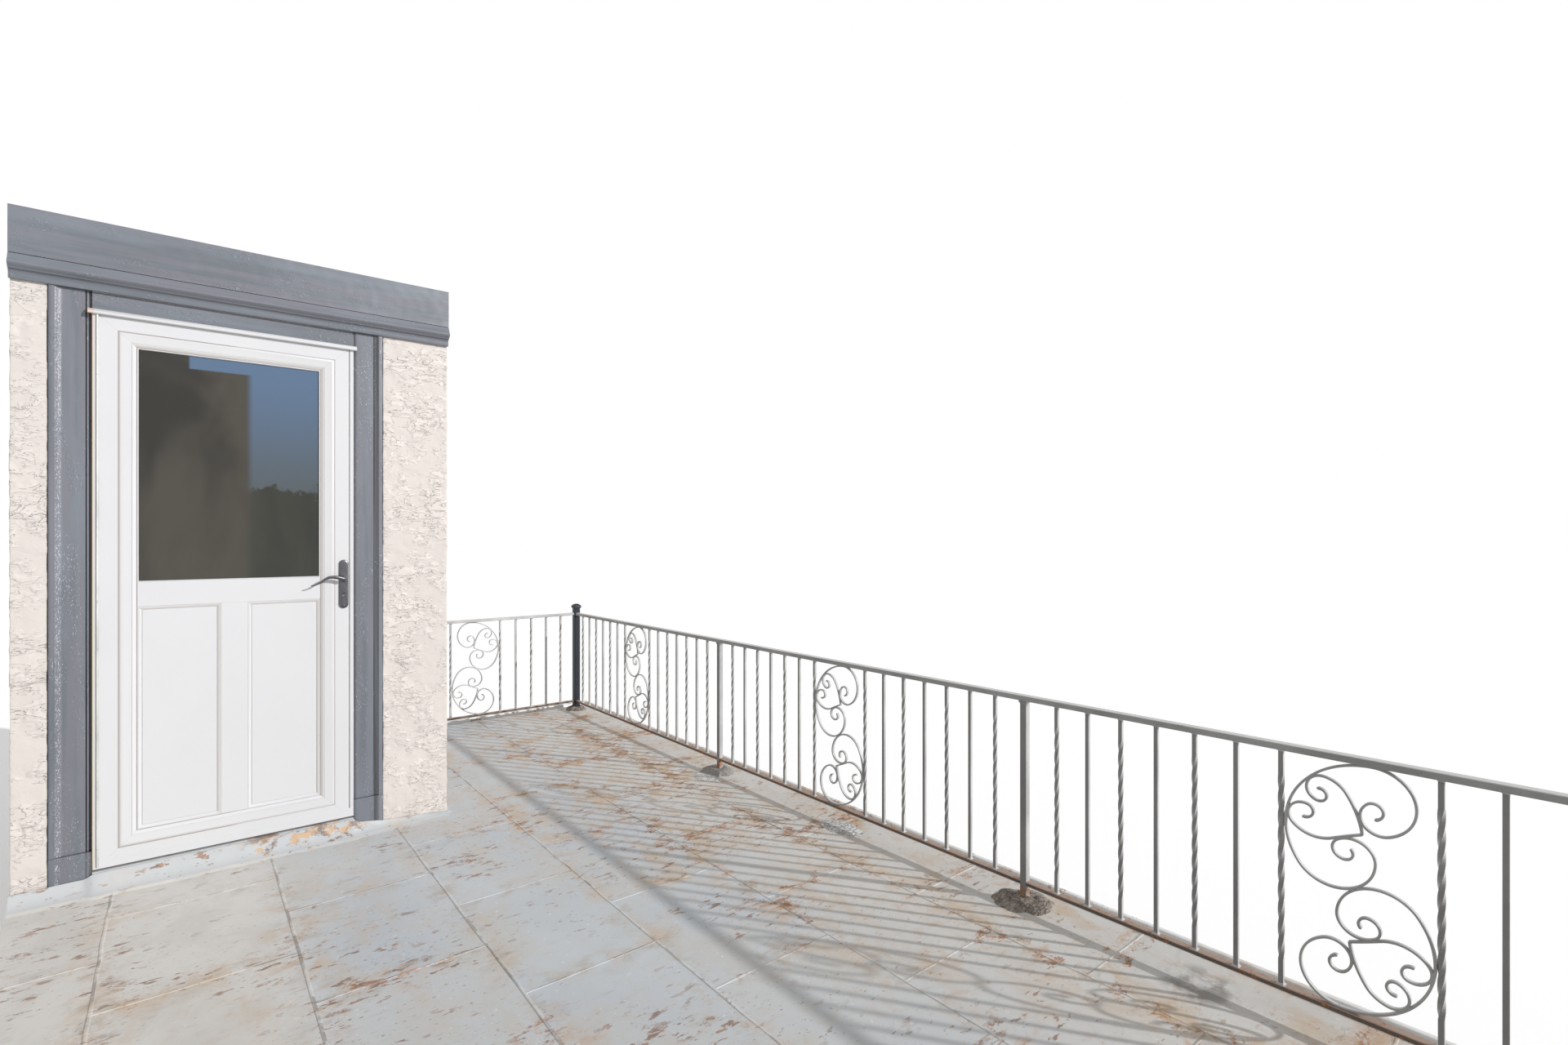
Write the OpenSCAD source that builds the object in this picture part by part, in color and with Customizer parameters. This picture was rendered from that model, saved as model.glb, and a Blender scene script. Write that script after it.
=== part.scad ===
// Walk-out balcony on a flat sheet-metal roof, with a scrolled iron railing
// round three sides and a half-glazed storm door in the house wall.
// +X runs along the front railing to the far corner, +Y to the house, +Z up.
// The origin is the middle of the footprint, on the level that the joists
// and the walls stand on. All lengths are in millimetres.

/* [Railing layout] */
// Number of whole bays along the front
front_bays = 3; // [2:1:6]
// Pickets on each side of the scroll in a front bay
front_side_pickets = 7; // [2:1:9]
// Pickets between the corner post and the scroll in a return
return_outer_pickets = 5; // [2:1:5]
// Pickets between the scroll and the next post in a return
return_inner_pickets = 4; // [2:1:4]
// Distance between the middles of two pickets
picket_pitch = 114.3; // [100:0.1:118]
// Distance from the middle of a post to the middle of the first picket
post_gap = 127; // [90:1:135]
// Least distance from the middle of the last picket to the house
wall_gap = 60; // [40:1:110]

/* [Railing sections] */
// Top of the rail above the deck
rail_height = 754; // [600:1:1100]
// Width of the top rail
top_rail_w = 32; // [26:1:50]
// Height of the top rail
top_rail_h = 19; // [12:1:30]
// Width of the bottom rail
bottom_rail_w = 25; // [16:1:40]
// Height of the bottom rail
bottom_rail_h = 13; // [8:1:25]
// Gap under the bottom rail
bottom_gap = 60; // [40:1:140]
// Size of the square pickets
picket_size = 12.7; // [10:0.1:16]
// Turn of a twisted picket, in degrees
picket_twist = 900; // [180:90:1080]
// Plain length at each end of a twisted picket
picket_plain_end = 70; // [30:1:150]
// Size of the square line posts
line_post_size = 25.4; // [20:0.1:40]
// Size of the square corner posts
corner_post_size = 44.5; // [38:0.1:54]
// Height of a corner post above the rail
corner_post_rise = 36; // [20:1:120]
// Size of the corner post's cap
cap_size = 58; // [56:1:90]
// Height of the cap's square edge
cap_edge = 20; // [6:1:30]
// Height of the cap's point above its edge
cap_point = 14; // [4:1:40]
// Side of the square plates that fix the rails to the house
wall_plate_size = 62; // [52:1:90]
// Thickness of these plates
wall_plate_t = 5; // [3:1:10]

/* [Scrollwork] */
// Width of the flat bar, across the panel
scroll_bar_w = 12; // [8:0.5:16]
// Thickness of the flat bar
scroll_bar_t = 5; // [4:0.5:8]

/* [Deck] */
// Depth of the wing beside the house, from the front railing to the wall
wing_depth = 1391; // [1200:1:1700]
// Distance from the far corner post back to the face of the door wall
wing_length = 1667; // [1200:1:1900]
// Depth of the joists
joist_depth = 184; // [140:1:240]
// Thickness of the joists
joist_t = 38; // [30:1:60]
// Largest distance between the middles of two joists
joist_pitch = 406; // [300:1:610]
// Thickness of the boards under the metal
boards_t = 19; // [12:1:30]
// Thickness of the metal covering with its paint
sheet_t = 2; // [1:0.5:4]
// Distance from the railing's middle to the inner face of the kerb
kerb_offset = 90; // [60:1:160]
// Width of the kerb
kerb_w = 60; // [25:1:80]
// Height of the kerb above the deck
kerb_h = 40; // [20:1:80]
// Width of the mound of roof cement round a post
cement_d = 170; // [110:1:175]
// Height of this mound
cement_h = 14; // [6:1:30]

/* [House wall] */
// Thickness of the wall
wall_t = 250; // [150:1:400]
// Width of the stucco between the house corner and the casing
corner_stucco_w = 282; // [120:1:600]
// Width of the stucco between the casing and the inner corner of the house
inner_stucco_w = 100; // [20:1:600]
// Depth of the stucco that stands in front of the wall behind it
stucco_t = 24; // [12:1:40]
// Width of the casing beside the door
casing_w = 118; // [80:1:160]
// Thickness of the flat part of the casing
casing_t = 20; // [12:1:30]
// Width of the raised band on the casing's outer edge
band_w = 38; // [20:1:50]
// Height of that band above the flat part
band_rise = 10; // [4:1:20]
// Height of the plinth block at the foot of the casing
plinth_h = 155; // [80:1:260]
// Height of the board over the door
head_board_h = 66; // [40:1:100]
// Height of the moulding over that board
moulding_h = 90; // [50:1:120]
// Distance that this moulding stands out
moulding_out = 42; // [20:1:70]
// Height of the frieze board over the moulding
frieze_h = 170; // [80:1:400]
// Thickness of this board
frieze_t = 20; // [12:1:30]

/* [Storm door] */
// Outer width of the door frame
door_w = 856; // [760:1:960]
// Outer height of the door frame
door_h = 2116; // [1980:1:2400]
// Height of the threshold above the deck
threshold_h = 78; // [30:1:120]
// Visible width of the frame
frame_face = 15; // [10:1:30]
// Depth of the frame
frame_depth = 42; // [40:1:60]
// Distance that the frame stands out from the stucco
frame_out = 10; // [4:1:30]
// Running gap between frame and leaf
leaf_gap = 2; // [1:0.5:4]
// Diameter of the long hinge beside the leaf
hinge_d = 7; // [4:0.5:10]
// Width of the hinge's plate in the gap beside the leaf
hinge_plate_w = 26; // [12:1:34]
// Thickness of the leaf
leaf_t = 36; // [30:1:40]
// Width of the flat edge round the leaf
stile_flat = 64; // [40:1:80]
// Width of the sloping moulding inside that edge
stile_slope = 46; // [20:1:60]
// Depth of that moulding
stile_drop = 8; // [4:1:10]
// Height of the glass, as it shows
glass_h = 905; // [600:1:1000]
// Height of the middle rail
mid_rail_h = 95; // [70:1:160]
// Width of the upright between the two lower panels
mullion_w = 88; // [40:1:120]
// Depth of the lower panels below the middle rail
panel_drop = 5; // [2:1:8]
// Width of the sloping edge round each lower panel
panel_bevel = 12; // [6:1:20]
// Depth of the beads that hold the glass
bead_w = 12; // [8:1:20]
// Width of a bead's face, seen from the front
bead_face = 4; // [3:0.5:8]
// Thickness of the glass
glass_t = 5; // [3:1:8]
// Height of the lever above the deck
lever_z = 1150; // [950:1:1200]
// Length of the lever plate
plate_len = 215; // [150:1:240]
// Width of the lever plate
plate_w = 36; // [24:1:40]
// Thickness of the lever plate
plate_t = 7; // [4:1:12]
// Reach of the lever from its spindle
lever_len = 118; // [90:1:140]
// Diameter of the lever
lever_d = 13; // [9:1:18]

/* [Hidden] */
$fn = 48;
eps = 0.01;

// Levels
deck_z = joist_depth + boards_t + sheet_t;
rail_top = deck_z + rail_height;
rail_under = rail_top - top_rail_h;
bottom_rail_z = deck_z + bottom_gap;
bottom_rail_top = bottom_rail_z + bottom_rail_h;
clear_h = rail_under - bottom_rail_top;

// Scroll shape. Each bar is a chain of tangent arcs [radius, turn], with a
// left turn positive. The half panel is drawn for a clear height of 662 and
// scaled with the real one; the other half is its copy, turned by 180 degrees.
scroll_ref_h = 662;
scroll_k = clear_h / scroll_ref_h;
scroll_top = scroll_ref_h / 2 - scroll_bar_t / scroll_k / 2;
big_bar_x = 34.4;
big_bar_left = [[193.5, 123], [92.1, 143.2], [51.1, 130.6], [27, 141.2], [18.7, 137.4]];
big_bar_right = [[89.5, -156.9], [43.6, -160.5], [20.8, -214.5]];
tip = [13.7, 146.2];
upper_bar_heading = 97.1;
upper_bar = [[254.9, 24], [69.7, 48.5], [35.4, 169], [17.2, 215.5]];
lower_bar_heading = 201.4;
lower_bar = [[960, 4.3], [76.9, -76], [35.6, -144.3], [19, -184.7]];
welds = [[0, 0], [34.4, scroll_top], [11.7, 146.2], [-103, 268.3], [-154, 168], [-41.3, 120.2], [8.5, 183.5]];
scroll_reach = 161.6;
curve_error = 0.35;
scroll_gap = 2 * scroll_reach * scroll_k + scroll_bar_t + picket_size;

// Plan of the railing
bay_len = 2 * (post_gap + (front_side_pickets - 1) * picket_pitch) + scroll_gap;
front_len = front_bays * bay_len;
x_far = front_len / 2;
x_near = -x_far;
edge_out = kerb_offset + kerb_w;
x_edge = x_far + edge_out;
deck_depth = wing_depth + corner_stucco_w + 2 * casing_w + door_w + inner_stucco_w;
y_rail = (edge_out - deck_depth) / 2;
y_edge = y_rail - edge_out;
y_back = y_rail + deck_depth;
y_side = y_rail + wing_depth;
x_wall = x_far - wing_length;
return_panel = 2 * post_gap + scroll_gap
    + (return_outer_pickets + return_inner_pickets - 2) * picket_pitch;
y_mid_post = y_rail + return_panel;
far_inner_pickets = pickets_to_wall(wing_depth);
near_inner_pickets = pickets_to_wall(deck_depth - return_panel);

// Storm door and the wall round it
y_door = y_side + corner_stucco_w + casing_w;
y_door_end = y_door + door_w;
y_casing_end = y_door_end + casing_w;
door_z = deck_z + threshold_h;
door_top = door_z + door_h;
moulding_z = door_top + head_board_h;
frieze_z = moulding_z + moulding_h;
wall_top = frieze_z + frieze_h;
x_casing = x_wall + stucco_t;
x_frame = x_wall - frame_out;
leaf_inset = frame_face + leaf_gap;
leaf_w = door_w - 2 * leaf_inset;
leaf_h = door_h - 2 * leaf_inset;
leaf_z = door_z + leaf_inset;
leaf_y = y_door + leaf_inset;
x_leaf = x_frame + leaf_gap;
field_inset = stile_flat + stile_slope;
field_w = leaf_w - 2 * field_inset;
glass_top = leaf_z + leaf_h - field_inset;
glass_z = glass_top - glass_h;
panel_top = glass_z - mid_rail_h;
panel_z = leaf_z + field_inset;
panel_w = (field_w - mullion_w) / 2;
x_glass = x_leaf + stile_drop + bead_w / 2;
y_lever = leaf_y + stile_flat / 3;

// Small sizes that no one sets
rail_edge = 1.5;
drip_h = 20;
drip_out = 14;
drip_side = 12;
nose_out = 4;
plate_low_share = 0.62;
rose_d = 26;
rose_t = 6;
key_d = 20;
key_t = 5;
key_drop = 68;
lever_neck = 34;
lever_t = 9;
lever_arcs = [[lever_len * 0.9, -34], [lever_len * 0.9, 30]];

// Box given by its lowest and highest corners
module block(low, high) {
    translate(low) cube([high[0] - low[0], high[1] - low[1], high[2] - low[2]]);
}

// Bar along X with its four long edges broken
module rail_bar(len, w, h) {
    c = rail_edge;
    rotate([90, 0, 90]) linear_extrude(len)
        polygon([[-w / 2 + c, 0], [w / 2 - c, 0], [w / 2, c], [w / 2, h - c],
            [w / 2 - c, h], [-w / 2 + c, h], [-w / 2, h - c], [-w / 2, c]]);
}

// Where the picket middles lie along a panel, from its first post
function run(start, count) = [for (i = [0 : 1 : count - 1]) start + i * picket_pitch];
function after_scroll(n) = post_gap + (n - 1) * picket_pitch + scroll_gap;
function spots(first, second) = concat(run(post_gap, first), run(after_scroll(first), second));
function scroll_mid(n) = post_gap + (n - 1) * picket_pitch + scroll_gap / 2;

// How many pickets fit between the scroll and the house in a panel of this length
function pickets_to_wall(len) =
    max(0, floor((len - wall_gap - after_scroll(return_outer_pickets)) / picket_pitch) + 1);

// Twisted and plain pickets take turns, with a twisted one beside a scroll
function kinds(first, second) = concat(
    [for (i = [0 : 1 : first - 1]) (first - 1 - i) % 2 == 0],
    [for (i = [0 : 1 : second - 1]) i % 2 == 0]);

module plain_picket() {
    translate([0, 0, clear_h / 2]) cube([picket_size, picket_size, clear_h], center = true);
}

// Square bar with plain ends and an even twist between them
module twisted_picket() {
    mid = clear_h - 2 * picket_plain_end;
    translate([0, 0, picket_plain_end])
        linear_extrude(mid, twist = -picket_twist, slices = round(picket_twist / 30), segments = 4)
            square(picket_size, center = true);
    for (z = [picket_plain_end / 2, clear_h - picket_plain_end / 2])
        translate([0, 0, z]) cube([picket_size, picket_size, picket_plain_end], center = true);
}

// All pickets of one kind in a panel that starts at a post and runs along +X
module pickets(first, second, twisted) {
    where = spots(first, second);
    kind = kinds(first, second);
    for (i = [0 : len(where) - 1])
        if (kind[i] == twisted)
            translate([where[i], 0, bottom_rail_top]) {
                if (twisted) twisted_picket();
                else plain_picket();
            }
}

// State [x, y, heading] of a bar after one more arc
function centre(s, a) = [s[0] - sign(a[1]) * a[0] * sin(s[2]), s[1] + sign(a[1]) * a[0] * cos(s[2])];
function after(s, a) = [
    centre(s, a)[0] + sign(a[1]) * a[0] * sin(s[2] + a[1]),
    centre(s, a)[1] - sign(a[1]) * a[0] * cos(s[2] + a[1]),
    s[2] + a[1]];

// States along a chain of arcs, close enough that each chord strays by curve_error
function arc_steps(a) = ceil(abs(a[1]) / (2 * acos(1 - curve_error / a[0])));
function along(s, arcs, i = 0) = i == len(arcs) ? [] : concat(
    [for (k = [1 : arc_steps(arcs[i])]) after(s, [arcs[i][0], arcs[i][1] * k / arc_steps(arcs[i])])],
    along(after(s, arcs[i]), arcs, i + 1));
function beside(s, d) = [s[0] - d * sin(s[2]), s[1] + d * cos(s[2])];

// Outline of a flat bar bent along a chain of arcs
module bent_bar(s, arcs, t) {
    states = concat([s], along(s, arcs));
    n = len(states);
    polygon(concat([for (i = [0 : n - 1]) beside(states[i], t / 2)],
        [for (i = [n - 1 : -1 : 0]) beside(states[i], -t / 2)]));
}

// Half of the scroll's outline, with the welds where its bars touch
module half_scroll() {
    t = scroll_bar_t / scroll_k;
    bent_bar([big_bar_x, scroll_top, 180], big_bar_left, t);
    bent_bar([big_bar_x, scroll_top, 0], big_bar_right, t);
    bent_bar([tip[0], tip[1], upper_bar_heading], upper_bar, t);
    bent_bar([tip[0], tip[1], lower_bar_heading], lower_bar, t);
    for (w = welds) translate(w) circle(d = 1.5 * t);
}

// The whole scroll, upright in the XZ plane, its middle at the given place
module scroll(x, flip = 1) {
    translate([x, 0, bottom_rail_top + clear_h / 2]) rotate([90, 0, 0]) scale(scroll_k)
        for (turn = [0, 180]) rotate([0, 0, turn]) linear_extrude(scroll_bar_w / scroll_k, center = true)
            mirror([flip < 0 ? 1 : 0, 0]) half_scroll();
}

// Places of the three railings: each maps a panel along +X to its own line
module on_front(x) { translate([x, y_rail, 0]) children(); }
module on_far() { translate([x_far, y_rail, 0]) rotate([0, 0, 90]) children(); }
module on_near(y) { translate([x_near, y, 0]) rotate([0, 0, 90]) children(); }
function bay_x(i) = x_near + i * bay_len;

// Deck structure
module joist_row(x0, x1, y0, y1) {
    n = ceil((x1 - x0) / joist_pitch);
    step = (x1 - x0) / n;
    for (i = [1 : n - 1])
        block([x0 + i * step - joist_t / 2, y0, 0], [x0 + i * step + joist_t / 2, y1, joist_depth]);
}

module joists_main() color("burlywood")
    joist_row(-x_edge + joist_t, x_wall, y_edge + joist_t, y_back - joist_t);

module joists_wing() color("burlywood")
    joist_row(x_wall, x_edge - joist_t, y_edge + joist_t, y_side - joist_t);

module ledgers() color("burlywood") {
    block([-x_edge + joist_t, y_back - joist_t, 0], [x_wall, y_back, joist_depth]);
    block([x_wall + joist_t, y_side - joist_t, 0], [x_edge - joist_t, y_side, joist_depth]);
}

module deck_boards_main() color("tan")
    block([-x_edge + kerb_w, y_edge + kerb_w, joist_depth], [x_wall, y_back, joist_depth + boards_t]);

module deck_boards_wing() color("tan")
    block([x_wall, y_edge + kerb_w, joist_depth], [x_edge - kerb_w, y_side, joist_depth + boards_t]);

module roof_sheets() color("lightsteelblue")
    translate([0, 0, deck_z - sheet_t]) linear_extrude(sheet_t)
        polygon([[-x_edge + kerb_w, y_edge + kerb_w], [x_edge - kerb_w, y_edge + kerb_w],
            [x_edge - kerb_w, y_side], [x_wall, y_side], [x_wall, y_back], [-x_edge + kerb_w, y_back]]);

// Fascia boards round the deck, and the kerbs that stand on them
module fascia_front() color("slategray")
    block([-x_edge + joist_t, y_edge, 0], [x_edge - joist_t, y_edge + joist_t, joist_depth]);

module fascia_far() color("slategray")
    block([x_edge - joist_t, y_edge, 0], [x_edge, y_side, joist_depth]);

module fascia_near() color("slategray")
    block([-x_edge, y_edge, 0], [-x_edge + joist_t, y_back, joist_depth]);

module kerb_front() color("lightsteelblue")
    block([-x_edge, y_edge, joist_depth], [x_edge, y_edge + kerb_w, deck_z + kerb_h]);

module kerb_far() color("lightsteelblue")
    block([x_edge - kerb_w, y_edge + kerb_w, joist_depth], [x_edge, y_side, deck_z + kerb_h]);

module kerb_near() color("lightsteelblue")
    block([-x_edge, y_edge + kerb_w, joist_depth], [-x_edge + kerb_w, y_back, deck_z + kerb_h]);

// Posts
module corner_post(x) {
    h = rail_height + corner_post_rise;
    translate([x, y_rail, deck_z]) {
        translate([0, 0, h / 2]) cube([corner_post_size, corner_post_size, h], center = true);
        translate([0, 0, h + cap_edge / 2]) cube([cap_size, cap_size, cap_edge], center = true);
        translate([0, 0, h + cap_edge]) rotate([0, 0, 45])
            cylinder(d1 = cap_size * sqrt(2), d2 = cap_size / 3, h = cap_point, $fn = 4);
    }
}

module corner_post_far() color("dimgray") corner_post(x_far);
module corner_post_near() color("dimgray") corner_post(x_near);

module line_post() {
    h = rail_under - deck_z;
    translate([0, 0, deck_z + h / 2]) cube([line_post_size, line_post_size, h], center = true);
}

module line_posts_front() color("silver")
    for (i = [1 : 1 : front_bays - 1]) on_front(bay_x(i)) line_post();

module line_post_near() color("silver") on_near(y_mid_post) line_post();

// Mound of roof cement round a post's foot
module cement_mound(size) {
    h = cement_h;
    r = cement_d / 2;
    difference() {
        rotate_extrude() polygon([[0, 0], [r, 0], [r * 0.86, h * 0.5], [r * 0.55, h * 0.85], [0, h]]);
        translate([0, 0, h / 2]) cube([size, size, h + 2], center = true);
    }
}

module post_cement() color("dimgray") translate([0, 0, deck_z]) {
    for (i = [1 : 1 : front_bays - 1]) on_front(bay_x(i)) cement_mound(line_post_size);
    on_near(y_mid_post) cement_mound(line_post_size);
    on_front(x_far) cement_mound(corner_post_size);
    on_front(x_near) cement_mound(corner_post_size);
}

// Rails
module top_rail_front() color("silver")
    translate([x_near + corner_post_size / 2, y_rail, rail_under])
        rail_bar(front_len - corner_post_size, top_rail_w, top_rail_h);

module top_rail_far() color("silver")
    on_far() translate([corner_post_size / 2, 0, rail_under])
        rail_bar(wing_depth - wall_plate_t - corner_post_size / 2, top_rail_w, top_rail_h);

module top_rail_near() color("silver")
    on_near(y_rail) translate([corner_post_size / 2, 0, rail_under])
        rail_bar(deck_depth - wall_plate_t - corner_post_size / 2, top_rail_w, top_rail_h);

module bottom_rail_front() color("rosybrown")
    for (i = [0 : front_bays - 1]) {
        start = i == 0 ? corner_post_size / 2 : line_post_size / 2;
        end = i == front_bays - 1 ? corner_post_size / 2 : line_post_size / 2;
        on_front(bay_x(i) + start) translate([0, 0, bottom_rail_z])
            rail_bar(bay_len - start - end, bottom_rail_w, bottom_rail_h);
    }

module bottom_rail_far() color("rosybrown")
    on_far() translate([corner_post_size / 2, 0, bottom_rail_z])
        rail_bar(wing_depth - wall_plate_t - corner_post_size / 2, bottom_rail_w, bottom_rail_h);

module bottom_rail_near() color("rosybrown") {
    on_near(y_rail) translate([corner_post_size / 2, 0, bottom_rail_z])
        rail_bar(return_panel - (corner_post_size + line_post_size) / 2, bottom_rail_w, bottom_rail_h);
    on_near(y_mid_post) translate([line_post_size / 2, 0, bottom_rail_z])
        rail_bar(y_back - y_mid_post - wall_plate_t - line_post_size / 2, bottom_rail_w, bottom_rail_h);
}

// Plates that fix the rail ends to the house
module wall_plates() color("silver")
    for (end = [[x_far, y_side], [x_near, y_back]], z = [rail_under + top_rail_h / 2, bottom_rail_z + bottom_rail_h / 2])
        translate([end[0], end[1] - wall_plate_t / 2, z])
            cube([wall_plate_size, wall_plate_t, wall_plate_size], center = true);

// Pickets and scrolls of the front, the far return and the near return
module front_pickets(twisted)
    for (i = [0 : front_bays - 1])
        on_front(bay_x(i)) pickets(front_side_pickets, front_side_pickets, twisted);

module far_pickets(twisted) on_far() pickets(return_outer_pickets, far_inner_pickets, twisted);

module near_pickets(twisted) {
    on_near(y_rail) pickets(return_outer_pickets, return_inner_pickets, twisted);
    on_near(y_mid_post) pickets(return_outer_pickets, near_inner_pickets, twisted);
}

module plain_pickets_front() color("lightgray") front_pickets(false);
module plain_pickets_far() color("lightgray") far_pickets(false);
module plain_pickets_near() color("lightgray") near_pickets(false);
module twisted_pickets_front() color("gainsboro") front_pickets(true);
module twisted_pickets_far() color("gainsboro") far_pickets(true);
module twisted_pickets_near() color("gainsboro") near_pickets(true);

module scrolls_front() color("gainsboro")
    for (i = [0 : front_bays - 1]) on_front(bay_x(i)) scroll(bay_len / 2, -1);

module scroll_far() color("gainsboro") on_far() scroll(scroll_mid(return_outer_pickets));

module scrolls_near() color("gainsboro")
    for (y = [y_rail, y_mid_post]) on_near(y) scroll(scroll_mid(return_outer_pickets));

// House wall. Behind the casing the stucco stops and the wall steps back.
module wall_slab(y0, y1) block([x_wall, y0, 0], [x_wall + wall_t, y1, wall_top]);
module casing_rebate(y0, y1) block([x_wall - 1, y0, deck_z], [x_casing, y1, moulding_z]);

module wall_corner_pier() color("seashell")
    difference() {
        wall_slab(y_side, y_door);
        casing_rebate(y_door - casing_w, y_door + 1);
    }

module wall_inner_pier() color("seashell")
    difference() {
        wall_slab(y_door_end, y_back);
        casing_rebate(y_door_end - 1, y_casing_end);
    }

module wall_head() color("seashell") {
    block([x_casing, y_door, door_top], [x_wall + wall_t, y_door_end, moulding_z]);
    block([x_wall, y_door, moulding_z], [x_wall + wall_t, y_door_end, wall_top]);
}

module wall_sill() color("seashell")
    block([x_wall, y_door, 0], [x_wall + wall_t, y_door_end, deck_z]);

module wall_side() color("seashell")
    block([x_wall + wall_t, y_side, 0], [x_edge, y_side + wall_t, wall_top]);

// Casing with a raised band on its outer edge and a plinth block at its foot
module casing_profile() {
    b = band_rise;
    polygon([[0, 0], [casing_w, 0], [casing_w, casing_t + b], [casing_w - band_w + b, casing_t + b],
        [casing_w - band_w, casing_t], [0, casing_t]]);
}

module casing_leg() {
    translate([0, 0, plinth_h]) linear_extrude(moulding_z - deck_z - plinth_h) casing_profile();
    linear_extrude(plinth_h) square([casing_w, casing_t + band_rise]);
}

module casing_outer() color("slategray")
    translate([x_casing, y_door, deck_z]) rotate([0, 0, -90]) mirror([0, 1, 0]) casing_leg();

module casing_inner() color("slategray")
    translate([x_casing, y_door_end, deck_z]) rotate([0, 0, 90]) casing_leg();

module casing_head() color("slategray")
    block([x_casing - casing_t, y_door, door_top], [x_casing, y_door_end, moulding_z]);

// Moulding over the casing, with a round under a sloping top
module moulding() color("slategray")
    translate([x_wall, y_side, moulding_z]) rotate([90, 0, 180]) linear_extrude(y_back - y_side) {
        o = moulding_out;
        h = moulding_h;
        polygon([[0, 0], [o * 0.3, 0], [o * 0.3, h * 0.2], [o * 0.62, h * 0.3], [o * 0.62, h * 0.38],
            [o, h * 0.52], [o, h * 0.66], [o * 0.76, h * 0.72], [o * 0.5, h], [0, h]]);
    }

module frieze() color("slategray")
    block([x_wall - frieze_t, y_side, frieze_z], [x_wall, y_back, wall_top]);

// Storm door
module door_frame() color("white") {
    f = frame_face;
    difference() {
        block([x_frame, y_door, door_z], [x_frame + frame_depth, y_door_end, door_top]);
        block([x_frame - 1, y_door + f, door_z + f], [x_frame + frame_depth + 1, y_door_end - f, door_top - f]);
    }
    block([x_frame - drip_out, y_door - drip_side, door_top - drip_h],
        [x_frame, y_door_end + drip_side, door_top]);
}

module threshold() color("silver")
    translate([0, y_door_end, 0]) rotate([90, 0, 0]) linear_extrude(door_w)
        polygon([[x_frame - nose_out, deck_z], [x_wall + wall_t, deck_z], [x_wall + wall_t, door_z],
            [x_frame, door_z], [x_frame - nose_out, deck_z + threshold_h * 0.6]]);

// Long hinge: a knuckle in front, and a plate that fills the gap between leaf and frame
module hinge_bar() color("gainsboro")
    translate([x_frame - hinge_d / 2, y_door_end - frame_face, leaf_z]) {
        cylinder(d = hinge_d, h = leaf_h);
        block([0, -leaf_gap, 0], [hinge_d / 2 + hinge_plate_w, 0, leaf_h]);
    }

// Rectangle with sloping sides, sunk into the leaf's face
module sunk_field(y, z, w, h, slope, drop, x) {
    hull() {
        block([x - 1, y, z], [x, y + w, z + h]);
        block([x + drop - eps, y + slope, z + slope], [x + drop, y + w - slope, z + h - slope]);
    }
}

module door_leaf() color("white")
    difference() {
        block([x_leaf, leaf_y, leaf_z], [x_leaf + leaf_t, leaf_y + leaf_w, leaf_z + leaf_h]);
        sunk_field(leaf_y + stile_flat, leaf_z + stile_flat, leaf_w - 2 * stile_flat,
            leaf_h - 2 * stile_flat, stile_slope, stile_drop, x_leaf);
        for (y = [leaf_y + field_inset, leaf_y + field_inset + panel_w + mullion_w])
            sunk_field(y, panel_z, panel_w, panel_top - panel_z, panel_bevel, panel_drop, x_leaf + stile_drop);
        block([x_leaf - 1, leaf_y + field_inset, glass_z],
            [x_leaf + leaf_t + 1, leaf_y + leaf_w - field_inset, glass_top]);
    }

module door_glass() color("darkslategray", 0.5)
    block([x_glass, leaf_y + field_inset, glass_z],
        [x_glass + glass_t, leaf_y + leaf_w - field_inset, glass_top]);

module glazing_beads() color("white")
    for (x = [[x_leaf + stile_drop, x_glass], [x_glass + glass_t, x_glass + glass_t + bead_w]])
        difference() {
            block([x[0], leaf_y + field_inset, glass_z], [x[1], leaf_y + leaf_w - field_inset, glass_top]);
            block([x[0] - 1, leaf_y + field_inset + bead_face, glass_z + bead_face],
                [x[1] + 1, leaf_y + leaf_w - field_inset - bead_face, glass_top - bead_face]);
        }

// Long plate with round ends, and the key cylinder below the lever
module lever_plate() color("silver")
    translate([x_leaf, y_lever, deck_z + lever_z]) rotate([0, -90, 0]) {
        straight = plate_len - plate_w;
        linear_extrude(plate_t) union() {
            translate([-straight * plate_low_share, -plate_w / 2]) square([straight, plate_w]);
            for (x = [-plate_low_share, 1 - plate_low_share]) translate([x * straight, 0]) circle(d = plate_w);
        }
        translate([-key_drop, 0, plate_t]) cylinder(d = key_d, h = key_t);
        translate([0, 0, plate_t]) cylinder(d = rose_d, h = rose_t);
    }

// Flat lever with a round boss on its neck, humped near the neck and dipping beyond
module door_lever() color("silver")
    translate([x_leaf - plate_t - rose_t, y_lever, deck_z + lever_z]) {
        rotate([0, -90, 0]) cylinder(d = lever_d, h = lever_neck - lever_t / 2);
        translate([lever_t - lever_neck, 0, 0]) rotate([90, 0, -90]) mirror([1, 0, 0])
            linear_extrude(lever_t) {
                circle(d = lever_d * 1.4);
                bent_bar([0, 0, 12], lever_arcs, lever_d);
            }
    }

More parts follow.
